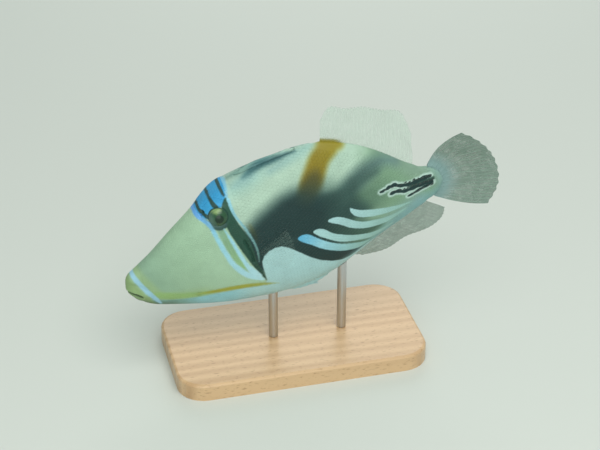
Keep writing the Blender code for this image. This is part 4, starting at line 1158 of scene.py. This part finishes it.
def median_fin(name, spec, edge, direction, wave, material, tinted, node):
    """A rayed fin along the back (1) or the belly (-1), leaning to the fish's right."""
    length_at, lean_at = curve_through(spec["length"]), curve_through(spec["lean"])
    columns = COLUMNS_PER_RAY * (spec["rays"] - 1) + 1
    part = np.linspace(0, 1, columns)[:, None]
    height = np.linspace(0, 1, FIN_ROWS)[None, :]
    x = spec["base"][0] + (spec["base"][1] - spec["base"][0]) * part
    slope = edge(x + 0.5) - edge(x - 0.5)
    out = unit(np.concatenate([-slope, 0 * x, 1 + 0 * x], 1)) * direction
    root = np.concatenate([x, 0 * x, edge(x)], 1) - out * FIN_ROOT_SINK
    sweep = np.radians(spec["sweep"][0] + (spec["sweep"][1] - spec["sweep"][0]) * part)
    ray = np.concatenate([np.sin(sweep), 0 * x, direction * np.cos(sweep)], 1)
    across = part * (spec["rays"] - 1)
    scallop = 0.5 - 0.5 * np.cos(2 * math.pi * across)
    length = (length_at(part) + FIN_ROOT_SINK) * (1 - FIN_NOTCH * scallop)
    lean = np.radians(lean_at(part)) * np.minimum(1, height * LEAN_RATE)
    ripple = wave * np.sin(2 * math.pi * (part * FIN_WAVE["count"] + FIN_WAVE["start"])) * height ** 2
    reach = (length * height)[..., None]
    sideways = np.stack([0 * lean, np.sin(lean), 0 * lean], -1)
    centres = root[:, None] + (ray[:, None] * np.cos(lean)[..., None] + sideways) * reach
    centres[..., 1] += ripple
    ridge = ray_relief(across + 0 * height, height + 0 * across, *MEDIAN_FORK)
    halves = WEB_HALF + ridge * (MEDIAN_RAY[0] - MEDIAN_RAY[1] * height)
    gone = length * height
    stain = tinted(x + 0 * height, gone - FIN_ROOT_SINK)
    mesh = sheet_mesh(name, centres, halves, {"ray": ridge, "out": gone, "root_tint": stain})
    return piece(name, mesh, material, "fin", node)


def make_tail_fin(material):
    """Twelve rays that fork on their way out, spread round the end of the body."""
    columns = COLUMNS_PER_RAY * 2 * (TAIL_RAYS - 1) + 1
    part = np.linspace(-1, 1, columns)[:, None]
    rows = FIN_ROWS + 8
    height = np.linspace(0, 1, rows)
    start = np.radians(TAIL_ROOT_SPREAD) * part
    centre = np.array([BODY_LENGTH - TAIL_ARC, 0, widest(BODY_LENGTH)])
    across = (part + 1) / 2 * (TAIL_RAYS - 1)
    scallop = 0.5 - 0.5 * np.cos(2 * math.pi * across)
    length = TAIL_LENGTH * (1 - FIN_NOTCH * scallop)
    middle = (height[1:] + height[:-1])[None] / 2
    bend = np.radians(TAIL_BEND + TAIL_TWIST * part) * np.minimum(1, middle * 2)
    angle = np.radians(TAIL_TILT + TAIL_SPREAD * part) + np.radians(TAIL_CURL) * part * (0.5 - middle)
    step = length * np.diff(height)[None]
    ahead = step * np.cos(angle)
    steps = np.stack([ahead * np.cos(bend), -ahead * np.sin(bend), step * np.sin(angle)], -1)
    spread = np.concatenate([np.cos(start), 0 * start, np.sin(start)], 1)
    root = centre + spread * (TAIL_ARC + TAIL_FOOT_RISE)
    inner = centre + spread * (TAIL_ARC - TAIL_FOOT_SINK)
    walk = np.concatenate([np.zeros((columns, 1, 3)), np.cumsum(steps, axis=1)], 1)
    centres = np.concatenate([inner[:, None], root[:, None] + walk], 1)
    out = np.concatenate([np.full((columns, 1), -TAIL_FOOT_LENGTH), length * height[None]], 1)
    wave = TAIL_WAVE["height"] * np.sin(2 * math.pi * (part * TAIL_WAVE["count"] + TAIL_WAVE["start"]))
    wave = wave * (np.maximum(out, 0) / TAIL_LENGTH) ** 2
    centres[..., 1] += wave
    level = np.clip(out / TAIL_LENGTH, 0, 1)
    ridge = ray_relief(across + 0 * out, level, *TAIL_FORK)
    flesh = TAIL_FLESH[0] * np.exp(-np.maximum(out, 0) / TAIL_FLESH[1])
    halves = WEB_HALF + ridge * (TAIL_RAY[0] - TAIL_RAY[1] * level) + flesh
    stain = TAIL_STAIN[0] * (1 - smooth(out, *TAIL_STAIN[1:]))
    mesh = sheet_mesh("tail_fin_rays", centres, halves, {"ray": ridge, "out": out, "root_tint": stain})
    return piece("tail_fin_rays", mesh, material, "fin", "tail_fin")


def make_pectoral_fin(side, node, material):
    """A small clear fan behind the gill slit."""
    columns = COLUMNS_PER_RAY * (PECTORAL_RAYS - 1) + 1
    part = np.linspace(0, 1, columns)
    height = np.linspace(0, 1, FIN_ROWS)[None]
    (x0, z0), (x1, z1) = PECTORAL_ROOT
    opening = math.radians(PECTORAL_OPEN)
    across = part * (PECTORAL_RAYS - 1)
    notch = 1 - PECTORAL_NOTCH * (0.5 - 0.5 * np.cos(2 * math.pi * across))
    length = (PECTORAL_LENGTH * (1 - (1 - PECTORAL_LOW_SHARE) * part ** 1.5) * notch)[:, None]
    angle = np.radians(PECTORAL_UP - PECTORAL_FAN * part)[:, None]
    roots = []
    for p in part:
        skin, outward = flank_point(x0 + (x1 - x0) * p, z0 + (z1 - z0) * p, side)
        roots.append(skin - outward * PECTORAL_SINK)
    lift = opening * (1 - 0.25 * height) * smooth(height, -0.12, 0.1)
    ahead = np.cos(angle) * length * height
    bulge = PECTORAL_BULGE * smooth(height, 0, 0.12)
    offset = np.stack([ahead * np.cos(lift), side * (ahead * np.sin(lift) + bulge),
                       np.sin(angle) * length * height], -1)
    centres = np.array(roots)[:, None] + offset
    across = across[:, None]
    ridge = ray_relief(across + 0 * height, height + 0 * across, *PECTORAL_FORK)
    halves = WEB_HALF + ridge * (PECTORAL_RAY[0] - PECTORAL_RAY[1] * height) + 0.1 * np.exp(-height * 14)
    extras = {"ray": ridge, "out": length * height, "root_tint": 0 * ridge}
    mesh = sheet_mesh(node + "_rays", centres, halves, extras)
    return piece(node + "_rays", mesh, material, "fin", node)


# Spines, crest, eyes and small forms

def tapered(path, radii, sides):
    """Rings round a path, with a point at each end, as points and faces."""
    path = np.asarray(path, float)
    ahead = unit(np.gradient(path, axis=0))
    across = unit(np.cross(ahead, (0.1, 1.0, 0.0)))
    up = np.cross(ahead, across)
    turns = np.linspace(0, 2 * math.pi, sides, endpoint=False)
    rings = path[:, None] + (np.cos(turns)[None, :, None] * across[:, None]
                             + np.sin(turns)[None, :, None] * up[:, None]) * np.asarray(radii)[:, None, None]
    points = np.concatenate([rings.reshape(-1, 3), path[:1], path[-1:]])
    return points, tube_faces(len(path), sides)


def joined(parts):
    """Several (points, faces) as one."""
    points, faces, shift = [], [], 0
    for these, those in parts:
        points.append(these)
        faces += [[i + shift for i in face] for face in those]
        shift += len(these)
    return np.concatenate(points), faces


def face_outwards(mesh):
    """Turns the faces of every shell outwards."""
    work = bmesh.new()
    work.from_mesh(mesh)
    bmesh.ops.recalc_face_normals(work, faces=work.faces)
    work.to_mesh(mesh)
    work.free()


def closed_mesh(name, points, faces):
    """A smooth mesh of one or more closed shells."""
    mesh = mesh_from(name, points, faces)
    face_outwards(mesh)
    mesh.shade_smooth()
    return mesh


def thorn_mesh(name, path, radii, sides):
    """A closed thorn to set on the skin: one unit of its path is a millimetre at size 1."""
    points, faces = tapered(path, radii, sides)
    mesh = bpy.data.meshes.new(name)
    mesh.from_pydata((points * MM).tolist(), [], faces)
    face_outwards(mesh)
    return mesh


def make_crest(material):
    """The folded first dorsal fin: a pleated keel in its groove and three spines laid back on it."""
    at = np.arange(CREST_START, CREST_END + 0.01, CREST_STEP)
    turns = np.linspace(0, 2 * math.pi, CREST_SIDES, endpoint=False)
    inside = np.minimum(at - CREST_START, CREST_END - at)
    fade = np.clip(inside / CREST_POINT, 0.02, 1) ** 0.5
    folds = np.sin(PLEAT["turns"] * turns[None] + at[:, None] * PLEAT["along"])
    pleat = 1 + PLEAT["height"] * folds * np.clip(np.sin(turns), 0, 1)[None]
    wide = (CREST_HALF_WIDTH - CREST_PLAY) * fade
    tall = (CREST_DEPTH + 0.5) * fade / 2
    centre = back(at) + CREST_RISE * fade - tall
    y = wide[:, None] * np.cos(turns)[None] * pleat
    z = centre[:, None] + tall[:, None] * np.sin(turns)[None] * pleat
    rings = np.stack([at[:, None] + 0 * y, y, z], -1)
    ends = [[at[0], 0, centre[0]], [at[-1], 0, centre[-1]]]
    parts = [(np.concatenate([rings.reshape(-1, 3), ends]), tube_faces(len(at), len(turns)))]
    for x, length, radius, aside in CREST_SPINES:
        t = np.linspace(0, 1, 40)
        rise = 1.25 * smooth(t, 0, 0.3) - 0.7 - 0.25 * t
        path = np.stack([x + length * t, aside * (1 - 0.5 * t), back(x + length * t) + rise], 1)
        rough = 1 + 0.06 * np.sin(t * 90) * (1 - t)
        parts.append(tapered(path, radius * (1 - 0.9 * t ** 1.3) * rough, 16))
    mesh = closed_mesh("first_dorsal_folded", *joined(parts))
    paint(mesh, in_body(mesh))
    return piece("first_dorsal_folded", mesh, material, "skin", "first_dorsal_fin")


def make_eye(side, node, material):
    """An eyeball with its cornea slightly domed, and places on it for pupil, iris and rim."""
    centre, outward = eye_place(side)
    aside = unit(np.cross(outward, (0, 0, 1)))
    up = np.cross(aside, outward)
    if up[2] < 0:
        aside, up = -aside, -up
    polar = np.linspace(0, math.pi, EYE_RINGS + 2)[1:-1]
    turns = np.linspace(0, 2 * math.pi, EYE_SIDES, endpoint=False)
    dome = EYE_RADIUS * (1 + CORNEA["height"] * np.exp(-(polar / CORNEA["reach"]) ** 2))
    ring = np.stack([np.cos(turns), np.sin(turns)], 1)
    flat = np.sin(polar)[:, None, None] * (ring[None, :, :1] * aside + ring[None, :, 1:] * up)
    body = centre + dome[:, None, None] * (flat + np.cos(polar)[:, None, None] * outward)
    points = np.concatenate([body.reshape(-1, 3), [centre + outward * dome[0], centre - outward * dome[-1]]])
    mesh = closed_mesh(node + "_ball", points, tube_faces(len(polar), len(turns)))
    seen = math.asin(IRIS_RADIUS / EYE_RADIUS)
    local = (points - centre) / EYE_RADIUS
    angle = np.arccos(np.clip(local @ outward, -1, 1)) / seen
    height = (local @ up) / math.sin(seen)
    spoke = unit(np.stack([local @ aside, local @ up], 1))
    upper = np.clip(height * 1.15 - np.abs(local @ aside) * 0.6, 0, 1)
    ahead = smooth(-local[:, 0] / math.sin(seen), 0.35, 1.0) * 0.8
    store(mesh, "ahead", "FLOAT", ahead)
    behind = local @ aside * math.copysign(1, aside[0]) - 0.13
    low_pupil = np.hypot(behind, local @ up + 0.1) / math.sin(seen)
    rings = np.where(angle < 0.75, low_pupil * 0.9, angle)
    store(mesh, "ring", "FLOAT", rings)
    store(mesh, "upper", "FLOAT", upper)
    store(mesh, "spoke", "FLOAT_VECTOR", np.concatenate([spoke, angle[:, None] * SPOKE_DRIFT], 1))
    return piece(node + "_ball", mesh, material, "eye", node)


def make_pelvic_flap(material):
    """The low ribbed keel before the vent."""
    columns = PELVIC_COLUMNS_PER_RIB * (PELVIC_RIBS - 1) + 1
    part = np.linspace(0, 1, columns)[:, None]
    height = np.linspace(0, 1, PELVIC_ROWS)[None]
    x = PELVIC_START + (PELVIC_END - PELVIC_START) * part
    drop = PELVIC_DROP * np.sin(math.pi * (0.04 + 0.92 * part) ** 0.85) ** 0.8 + 0.5
    ribs = 0.5 + 0.5 * np.cos(2 * math.pi * part * (PELVIC_RIBS - 1))
    drop = (drop + 1.0) * (1 - 0.06 * (1 - ribs))
    root = np.concatenate([x, 0 * x, belly(x) + 0.9], 1)
    down = np.stack([PELVIC_SWEEP * drop * height, 0 * drop * height, -drop * height], -1)
    centres = root[:, None] + down
    halves = (PELVIC_HALF[0] - PELVIC_HALF[1] * height) * (0.72 + 0.28 * ribs)
    mesh = sheet_mesh("pelvic_keel", centres, halves, {})
    paint(mesh, in_body(mesh))
    return piece("pelvic_keel", mesh, material, "skin", "pelvic_flap")


def make_pelvic_spines(material):
    """Short blunt spines in pairs at the tip of the keel, leaning back and out."""
    t = np.linspace(0, 1, 8)
    shape = thorn_mesh("blunt_spine", np.stack([0.1 * t ** 2, 0 * t, t], 1), 0.14 * (1 - 0.92 * t), 8)
    pairs = [(i, side) for i in range(PELVIC_SPINE_PAIRS) for side in (-1, 1)]
    x = np.array([PELVIC_SPINE_START + i for i, side in pairs])
    spots = np.stack([x, 0 * x, belly(x) - 1.9 - 0.28 * (x - PELVIC_SPINE_START)], 1)
    outs = unit(np.array([(1.5, 0.9 * side, -1.0) for i, side in pairs]))
    along = np.tile((1.0, 0.0, 0.0), (len(pairs), 1))
    sizes = np.full((len(pairs), 3), PELVIC_SPINE_SIZE)
    mesh = set_on_skin("pelvic_spines", shape, spots, outs, along, sizes, 0.05, 9, material)
    paint(mesh, in_body(mesh))
    return piece("pelvic_spines", mesh, material, "skin")


def plate_mesh():
    """One scale: a six-sided plate with sloping sides, its rear edge raised, one millimetre across."""
    turns = np.linspace(0, 2 * math.pi, 6, endpoint=False)
    rim = np.stack([np.cos(turns) * 0.5, np.sin(turns) * 0.5], 1)
    rise = 0.75 + 0.25 * np.cos(turns)
    points = [(x, y, -1.0) for x, y in rim]
    points += [(x * 0.98, y * 0.98, h * 0.55) for (x, y), h in zip(rim, rise)]
    points += [(x * 0.62, y * 0.62, 0.25 + h * 0.75) for (x, y), h in zip(rim, rise)]
    points.append((0.0, 0.0, 1.02))
    faces = [tuple(reversed(range(6)))]
    faces += [(12 + i, 12 + (i + 1) % 6, 18) for i in range(6)]
    for level in (0, 6):
        faces += [(level + i, level + (i + 1) % 6, level + 6 + (i + 1) % 6, level + 6 + i) for i in range(6)]
    mesh = bpy.data.meshes.new("scale_plate")
    mesh.from_pydata([tuple(c * MM for c in p) for p in points], [], faces)
    return mesh


def skin_level(points):
    """One on the skin, less inside it and more outside."""
    x, y, z = points.T
    top, bottom, wide, middle, upper = section_sizes(x)
    rise = np.where(z >= middle, top - middle, middle - bottom)
    power = np.where(z >= middle, upper, UNDERSIDE)
    return (np.abs(y) / wide) ** power + (np.abs(z - middle) / rise) ** power


def outward_at(points):
    """Outward directions of the skin at points on it, true also on the flat crown."""
    steps = np.eye(3) * 0.05
    return unit(np.stack([skin_level(points + step) - skin_level(points - step) for step in steps], 1))


def scale_spots():
    """Staggered rows of scales on one flank: spots, sizes, and lengths round from the widest line."""
    spots, sizes, rounds = [], [], []
    for start, end, length, width in SCALE_ZONES:
        x, odd = start, False
        while x < end:
            shrink = 0.8 + 0.2 * smooth(x, 10, 30) - 0.25 * smooth(x, 120, 160)
            y, z, gone = half_section(x)
            middle = gone[len(gone) // 2]
            places = np.arange(-SCALES_EACH_WAY, SCALES_EACH_WAY + 1)
            arcs = middle + places * width * shrink + (width * shrink / 2 if odd else 0)
            arcs = arcs[(arcs > CROWN_GAP) & (arcs < gone[-1] - CROWN_GAP)]
            ys, zs = np.interp(arcs, gone, y), np.interp(arcs, gone, z)
            spots.append(np.stack([np.full(len(arcs), x), ys, zs], 1))
            size = (length * shrink * SCALE_OVERLAP, width * shrink * SCALE_OVERLAP, SCALE_THICKNESS)
            sizes.append(np.tile(size, (len(arcs), 1)))
            rounds.append(arcs - middle)
            x += length * shrink * SCALE_ROW_STEP
            odd = not odd
    return np.concatenate(spots), np.concatenate(sizes), np.concatenate(rounds)


def bake_map(mesh, count, roots, outs, rounds, flank):
    """Unwraps each scale to a small patch, with the skin rolled out along and round the body."""
    body = in_body(mesh).reshape(-1, count, 3) - roots[:, None]
    down = flank * np.stack([np.zeros(len(outs)), outs[:, 2], -outs[:, 1]], 1)
    u = (0.5 + (roots[:, 0] / BODY_LENGTH - 0.5) * MAP_WIDTH)[:, None] + body[:, :, 0] * MAP_PER_MM
    v = (0.5 + rounds / MAP_GIRTH)[:, None] + (body * down[:, None]).sum(2) * MAP_PER_MM
    layer = mesh.uv_layers.new(name="OFBake")
    corners = np.zeros(len(mesh.loops), int)
    mesh.loops.foreach_get("vertex_index", corners)
    layer.data.foreach_set("uv", np.stack([u.ravel()[corners], v.ravel()[corners]], 1).ravel())


def make_scales():
    """A coat of plate scales for each side, clear of lips, eyes, slits, groove and the fins' feet."""
    spots, sizes, rounds = scale_spots()
    x, z = spots[:, 0], spots[:, 2]
    keep = (eye_distance(spots) > CLEAR["eye"]) & (path_distance(x, z, MOUTH) > CLEAR["mouth"])
    keep &= path_distance(x, z, GILL_SLIT) > CLEAR["gill"]
    keep &= path_distance(x, z, NOSTRILS) > CLEAR["nostril"]
    wide, deep = crest_sizes(x)
    side = np.abs(spots[:, 1])
    keep &= ~((z > UPPER_BODY) & (side < wide + CLEAR["groove"]) & (deep > 0))
    at_fins = (z > back(x) - FIN_FOOT_DEPTH) | (z < belly(x) + FIN_FOOT_DEPTH)
    keep &= ~((side < CLEAR["fins"]) & (x > FIN_FEET[0]) & (x < FIN_FEET[1]) & at_fins)
    spots, sizes, rounds = spots[keep], sizes[keep], rounds[keep]
    material = skin_material("plate_scales", 0.44, 0.3)
    shape = plate_mesh()
    count = len(shape.vertices)
    along = np.tile((1.0, 0.0, 0.0), (len(spots), 1))
    for name, flank, seed in (("scales_left", -1, 11), ("scales_right", 1, 12)):
        own = spots * (1, flank, 1)
        outs = outward_at(own)
        roots = own + outs * (relief(own) - SCALE_SINK)[:, None]
        mesh = set_on_skin(name, shape, roots, outs, along, sizes, 0.04, seed, material)
        paint(mesh, in_body(mesh))
        bake_map(mesh, count, roots, outs, rounds, flank)
        piece(name, mesh, material, "skin")


def hook_mesh():
    """A small thorn that leans forward, one millimetre long, pointing along -x and out along z."""
    t = np.linspace(0, 1, 9)
    path = np.stack([0.35 - 1.15 * t ** 1.2, 0 * t, -0.25 + 0.62 * t ** 0.75], 1)
    return thorn_mesh("hook", path, 0.3 * (1 - 0.95 * t), 10)


def make_tail_spines(material):
    """Three rows of forward-hooked spines on each side of the tail base."""
    draw = random.Random(7)
    spots, outs, sizes = [], [], []
    for side in (-1, 1):
        for (high, low), (start, end), count in SPINE_ROWS:
            for i in range(count):
                part = i / (count - 1)
                x = start + (end - start) * part + draw.uniform(-0.3, 0.3)
                z = high + (low - high) * part + draw.uniform(-0.3, 0.3)
                skin, outward = flank_point(x, z, side)
                size = HOOK_SIZE * (0.75 + 0.4 * part)
                spots.append(skin)
                outs.append(outward)
                sizes.append((size, size, size))
    lies = np.tile((1.0, 0.0, 0.0), (len(spots), 1))
    spots, outs, sizes = np.array(spots), np.array(outs), np.array(sizes)
    mesh = set_on_skin("tail_base_spines", hook_mesh(), spots, outs, lies, sizes, 0.1, 5, material)
    return piece("tail_base_spines", mesh, material, "skin")


# Stage

def area_light(name, place, aim, size, power, tint):
    """A soft round lamp that shines on a point."""
    lamp = bpy.data.lights.new(name, "AREA")
    lamp.shape = "DISK"
    lamp.size = size
    lamp.energy = power
    lamp.color = tone(tint)[:3]
    holder = bpy.data.objects.new(name, lamp)
    holder.location = place
    holder.rotation_mode = "QUATERNION"
    holder.rotation_quaternion = (Vector(aim) - Vector(place)).to_track_quat("-Z", "Y")
    bpy.context.scene.collection.objects.link(holder)


def make_stage():
    """A plain pale floor, a soft key from above, a wide fill and an even sky."""
    floor = bpy.data.meshes.new("floor")
    corners = [(x * FLOOR_REACH, y * FLOOR_REACH, 0) for x, y in ((-1, -1), (1, -1), (1, 1), (-1, 1))]
    floor.from_pydata(corners, [], [(0, 1, 2, 3)])
    ground = bpy.data.objects.new("floor", floor)
    bpy.context.scene.collection.objects.link(ground)
    # Matt paper, pressed smooth: its tooth of about 0.2 mm is drawn coarser, so that it shows
    material, tree = new_material("pale_paper_floor")
    place = add(tree, "ShaderNodeTexCoord").outputs["Object"]
    tooth = add(tree, "ShaderNodeTexNoise", {"Vector": place, "Scale": per_mm(1.2), "Detail": 2.0})
    relief_node = add(tree, "ShaderNodeBump", {"Height": tooth.outputs["Fac"], "Distance": 0.05 * MM,
                                               "Strength": 0.2})
    paper = add(tree, "ShaderNodeBsdfPrincipled", {"Base Color": tone("#c9cfc8"), "Roughness": 0.85,
                                                   "Normal": relief_node.outputs[0]})
    add(tree, "ShaderNodeOutputMaterial", {"Surface": paper.outputs[0]})
    floor.materials.append(material)
    world = bpy.data.worlds.new("soft_sky")
    world.use_nodes = True
    sky = world.node_tree.nodes["Background"]
    sky.inputs["Color"].default_value = tone("#e3ece8")
    sky.inputs["Strength"].default_value = SKY_STRENGTH
    bpy.context.scene.world = world
    for name, offset, size, power, tint in LAMPS:
        area_light(name, ORIGIN + offset, ORIGIN, size, power, tint)


def make_camera():
    """A level camera where the photograph's stood, turned so that the fish falls on its pixels."""
    azimuth, elevation = math.radians(CAMERA_AZIMUTH), math.radians(CAMERA_ELEVATION)
    toward = Vector((-math.sin(azimuth) * math.cos(elevation), -math.cos(azimuth) * math.cos(elevation),
                     math.sin(elevation)))
    right = Vector((0, 0, 1)).cross(toward).normalized()
    up = toward.cross(right)
    aim = -toward + right * (PICTURE[0] / 2 - MIDDLE_PIXEL[0]) / CAMERA_FOCAL
    aim += up * (MIDDLE_PIXEL[1] - PICTURE[1] / 2) / CAMERA_FOCAL
    lens = bpy.data.cameras.new("camera")
    lens.sensor_width = SENSOR
    lens.lens = CAMERA_FOCAL / PICTURE[0] * SENSOR
    lens.clip_start, lens.clip_end = CLIP
    camera = bpy.data.objects.new("camera", lens)
    camera.location = Vector(ORIGIN) + toward * CAMERA_DISTANCE
    camera.rotation_mode = "QUATERNION"
    camera.rotation_quaternion = aim.to_track_quat("-Z", "Y")
    bpy.context.scene.collection.objects.link(camera)
    bpy.context.scene.camera = camera


def amber_root(x, out):
    """The amber band runs on over the foot of the soft dorsal fin."""
    return np.clip(1 - smooth(x, 118, 125), 0, 1) * (1 - smooth(out, 1.2, 3.4)) * 0.95


def plain_root(x, out):
    """A faint stain at the foot of a fin."""
    return 0.25 * (1 - smooth(out, 0.3, 2.2)) + 0 * x


def dress_stand():
    """The stand keeps its own solids and gets wood and steel."""
    for name, material in (("stand_base", wood_material()), ("stand_rod_front", steel_material()),
                           ("stand_rod_rear", bpy.data.materials["brushed_stainless_steel"])):
        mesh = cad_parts[name].data
        mesh.materials.clear()
        mesh.materials.append(material)


make_camera()
make_stage()
make_skin()
make_scales()
make_tail_spines(spine_material())
make_crest(skin_material("folded_fin_leather", 0.5, 0.6))
globe = eye_material()
for flank, eye in ((-1, "eye_left"), (1, "eye_right")):
    make_eye(flank, eye, globe)
membrane = fin_material("clear_fin_membrane", "#a9c2b1", "#b9cdbf", AMBER_TOP, 0.22, 0.34, 0.3)
glassy = fin_material("glass_clear_fin", "#9fb8ab", "#a9bfb2", PEDUNCLE, 0.015, 0.05, 0.1)
cloudy = fin_material("cloudy_tail_membrane", "#6d8779", "#829b8d", PEDUNCLE, 0.58, 0.72, 0.3)
# Painted shade: the anal fin's film is a darker grey for the shade it lies in under the body
shadowed = fin_material("anal_membrane_painted_shade", "#728c7e", "#7c9687", "#8cab9c", 0.44, 0.5, 0.25)
median_fin("soft_dorsal_rays", DORSAL, back, 1, 0.5, membrane, amber_root, "soft_dorsal_fin")
median_fin("anal_rays", ANAL, belly, -1, 0.5, shadowed, plain_root, "anal_fin")
make_tail_fin(cloudy)
for flank, fin in ((-1, "pectoral_fin_left"), (1, "pectoral_fin_right")):
    make_pectoral_fin(flank, fin, glassy)
make_pelvic_flap(bpy.data.materials["slimed_fish_skin"])
make_pelvic_spines(bpy.data.materials["slimed_fish_skin"])
dress_stand()
bpy.context.scene.view_settings.view_transform = "Standard"
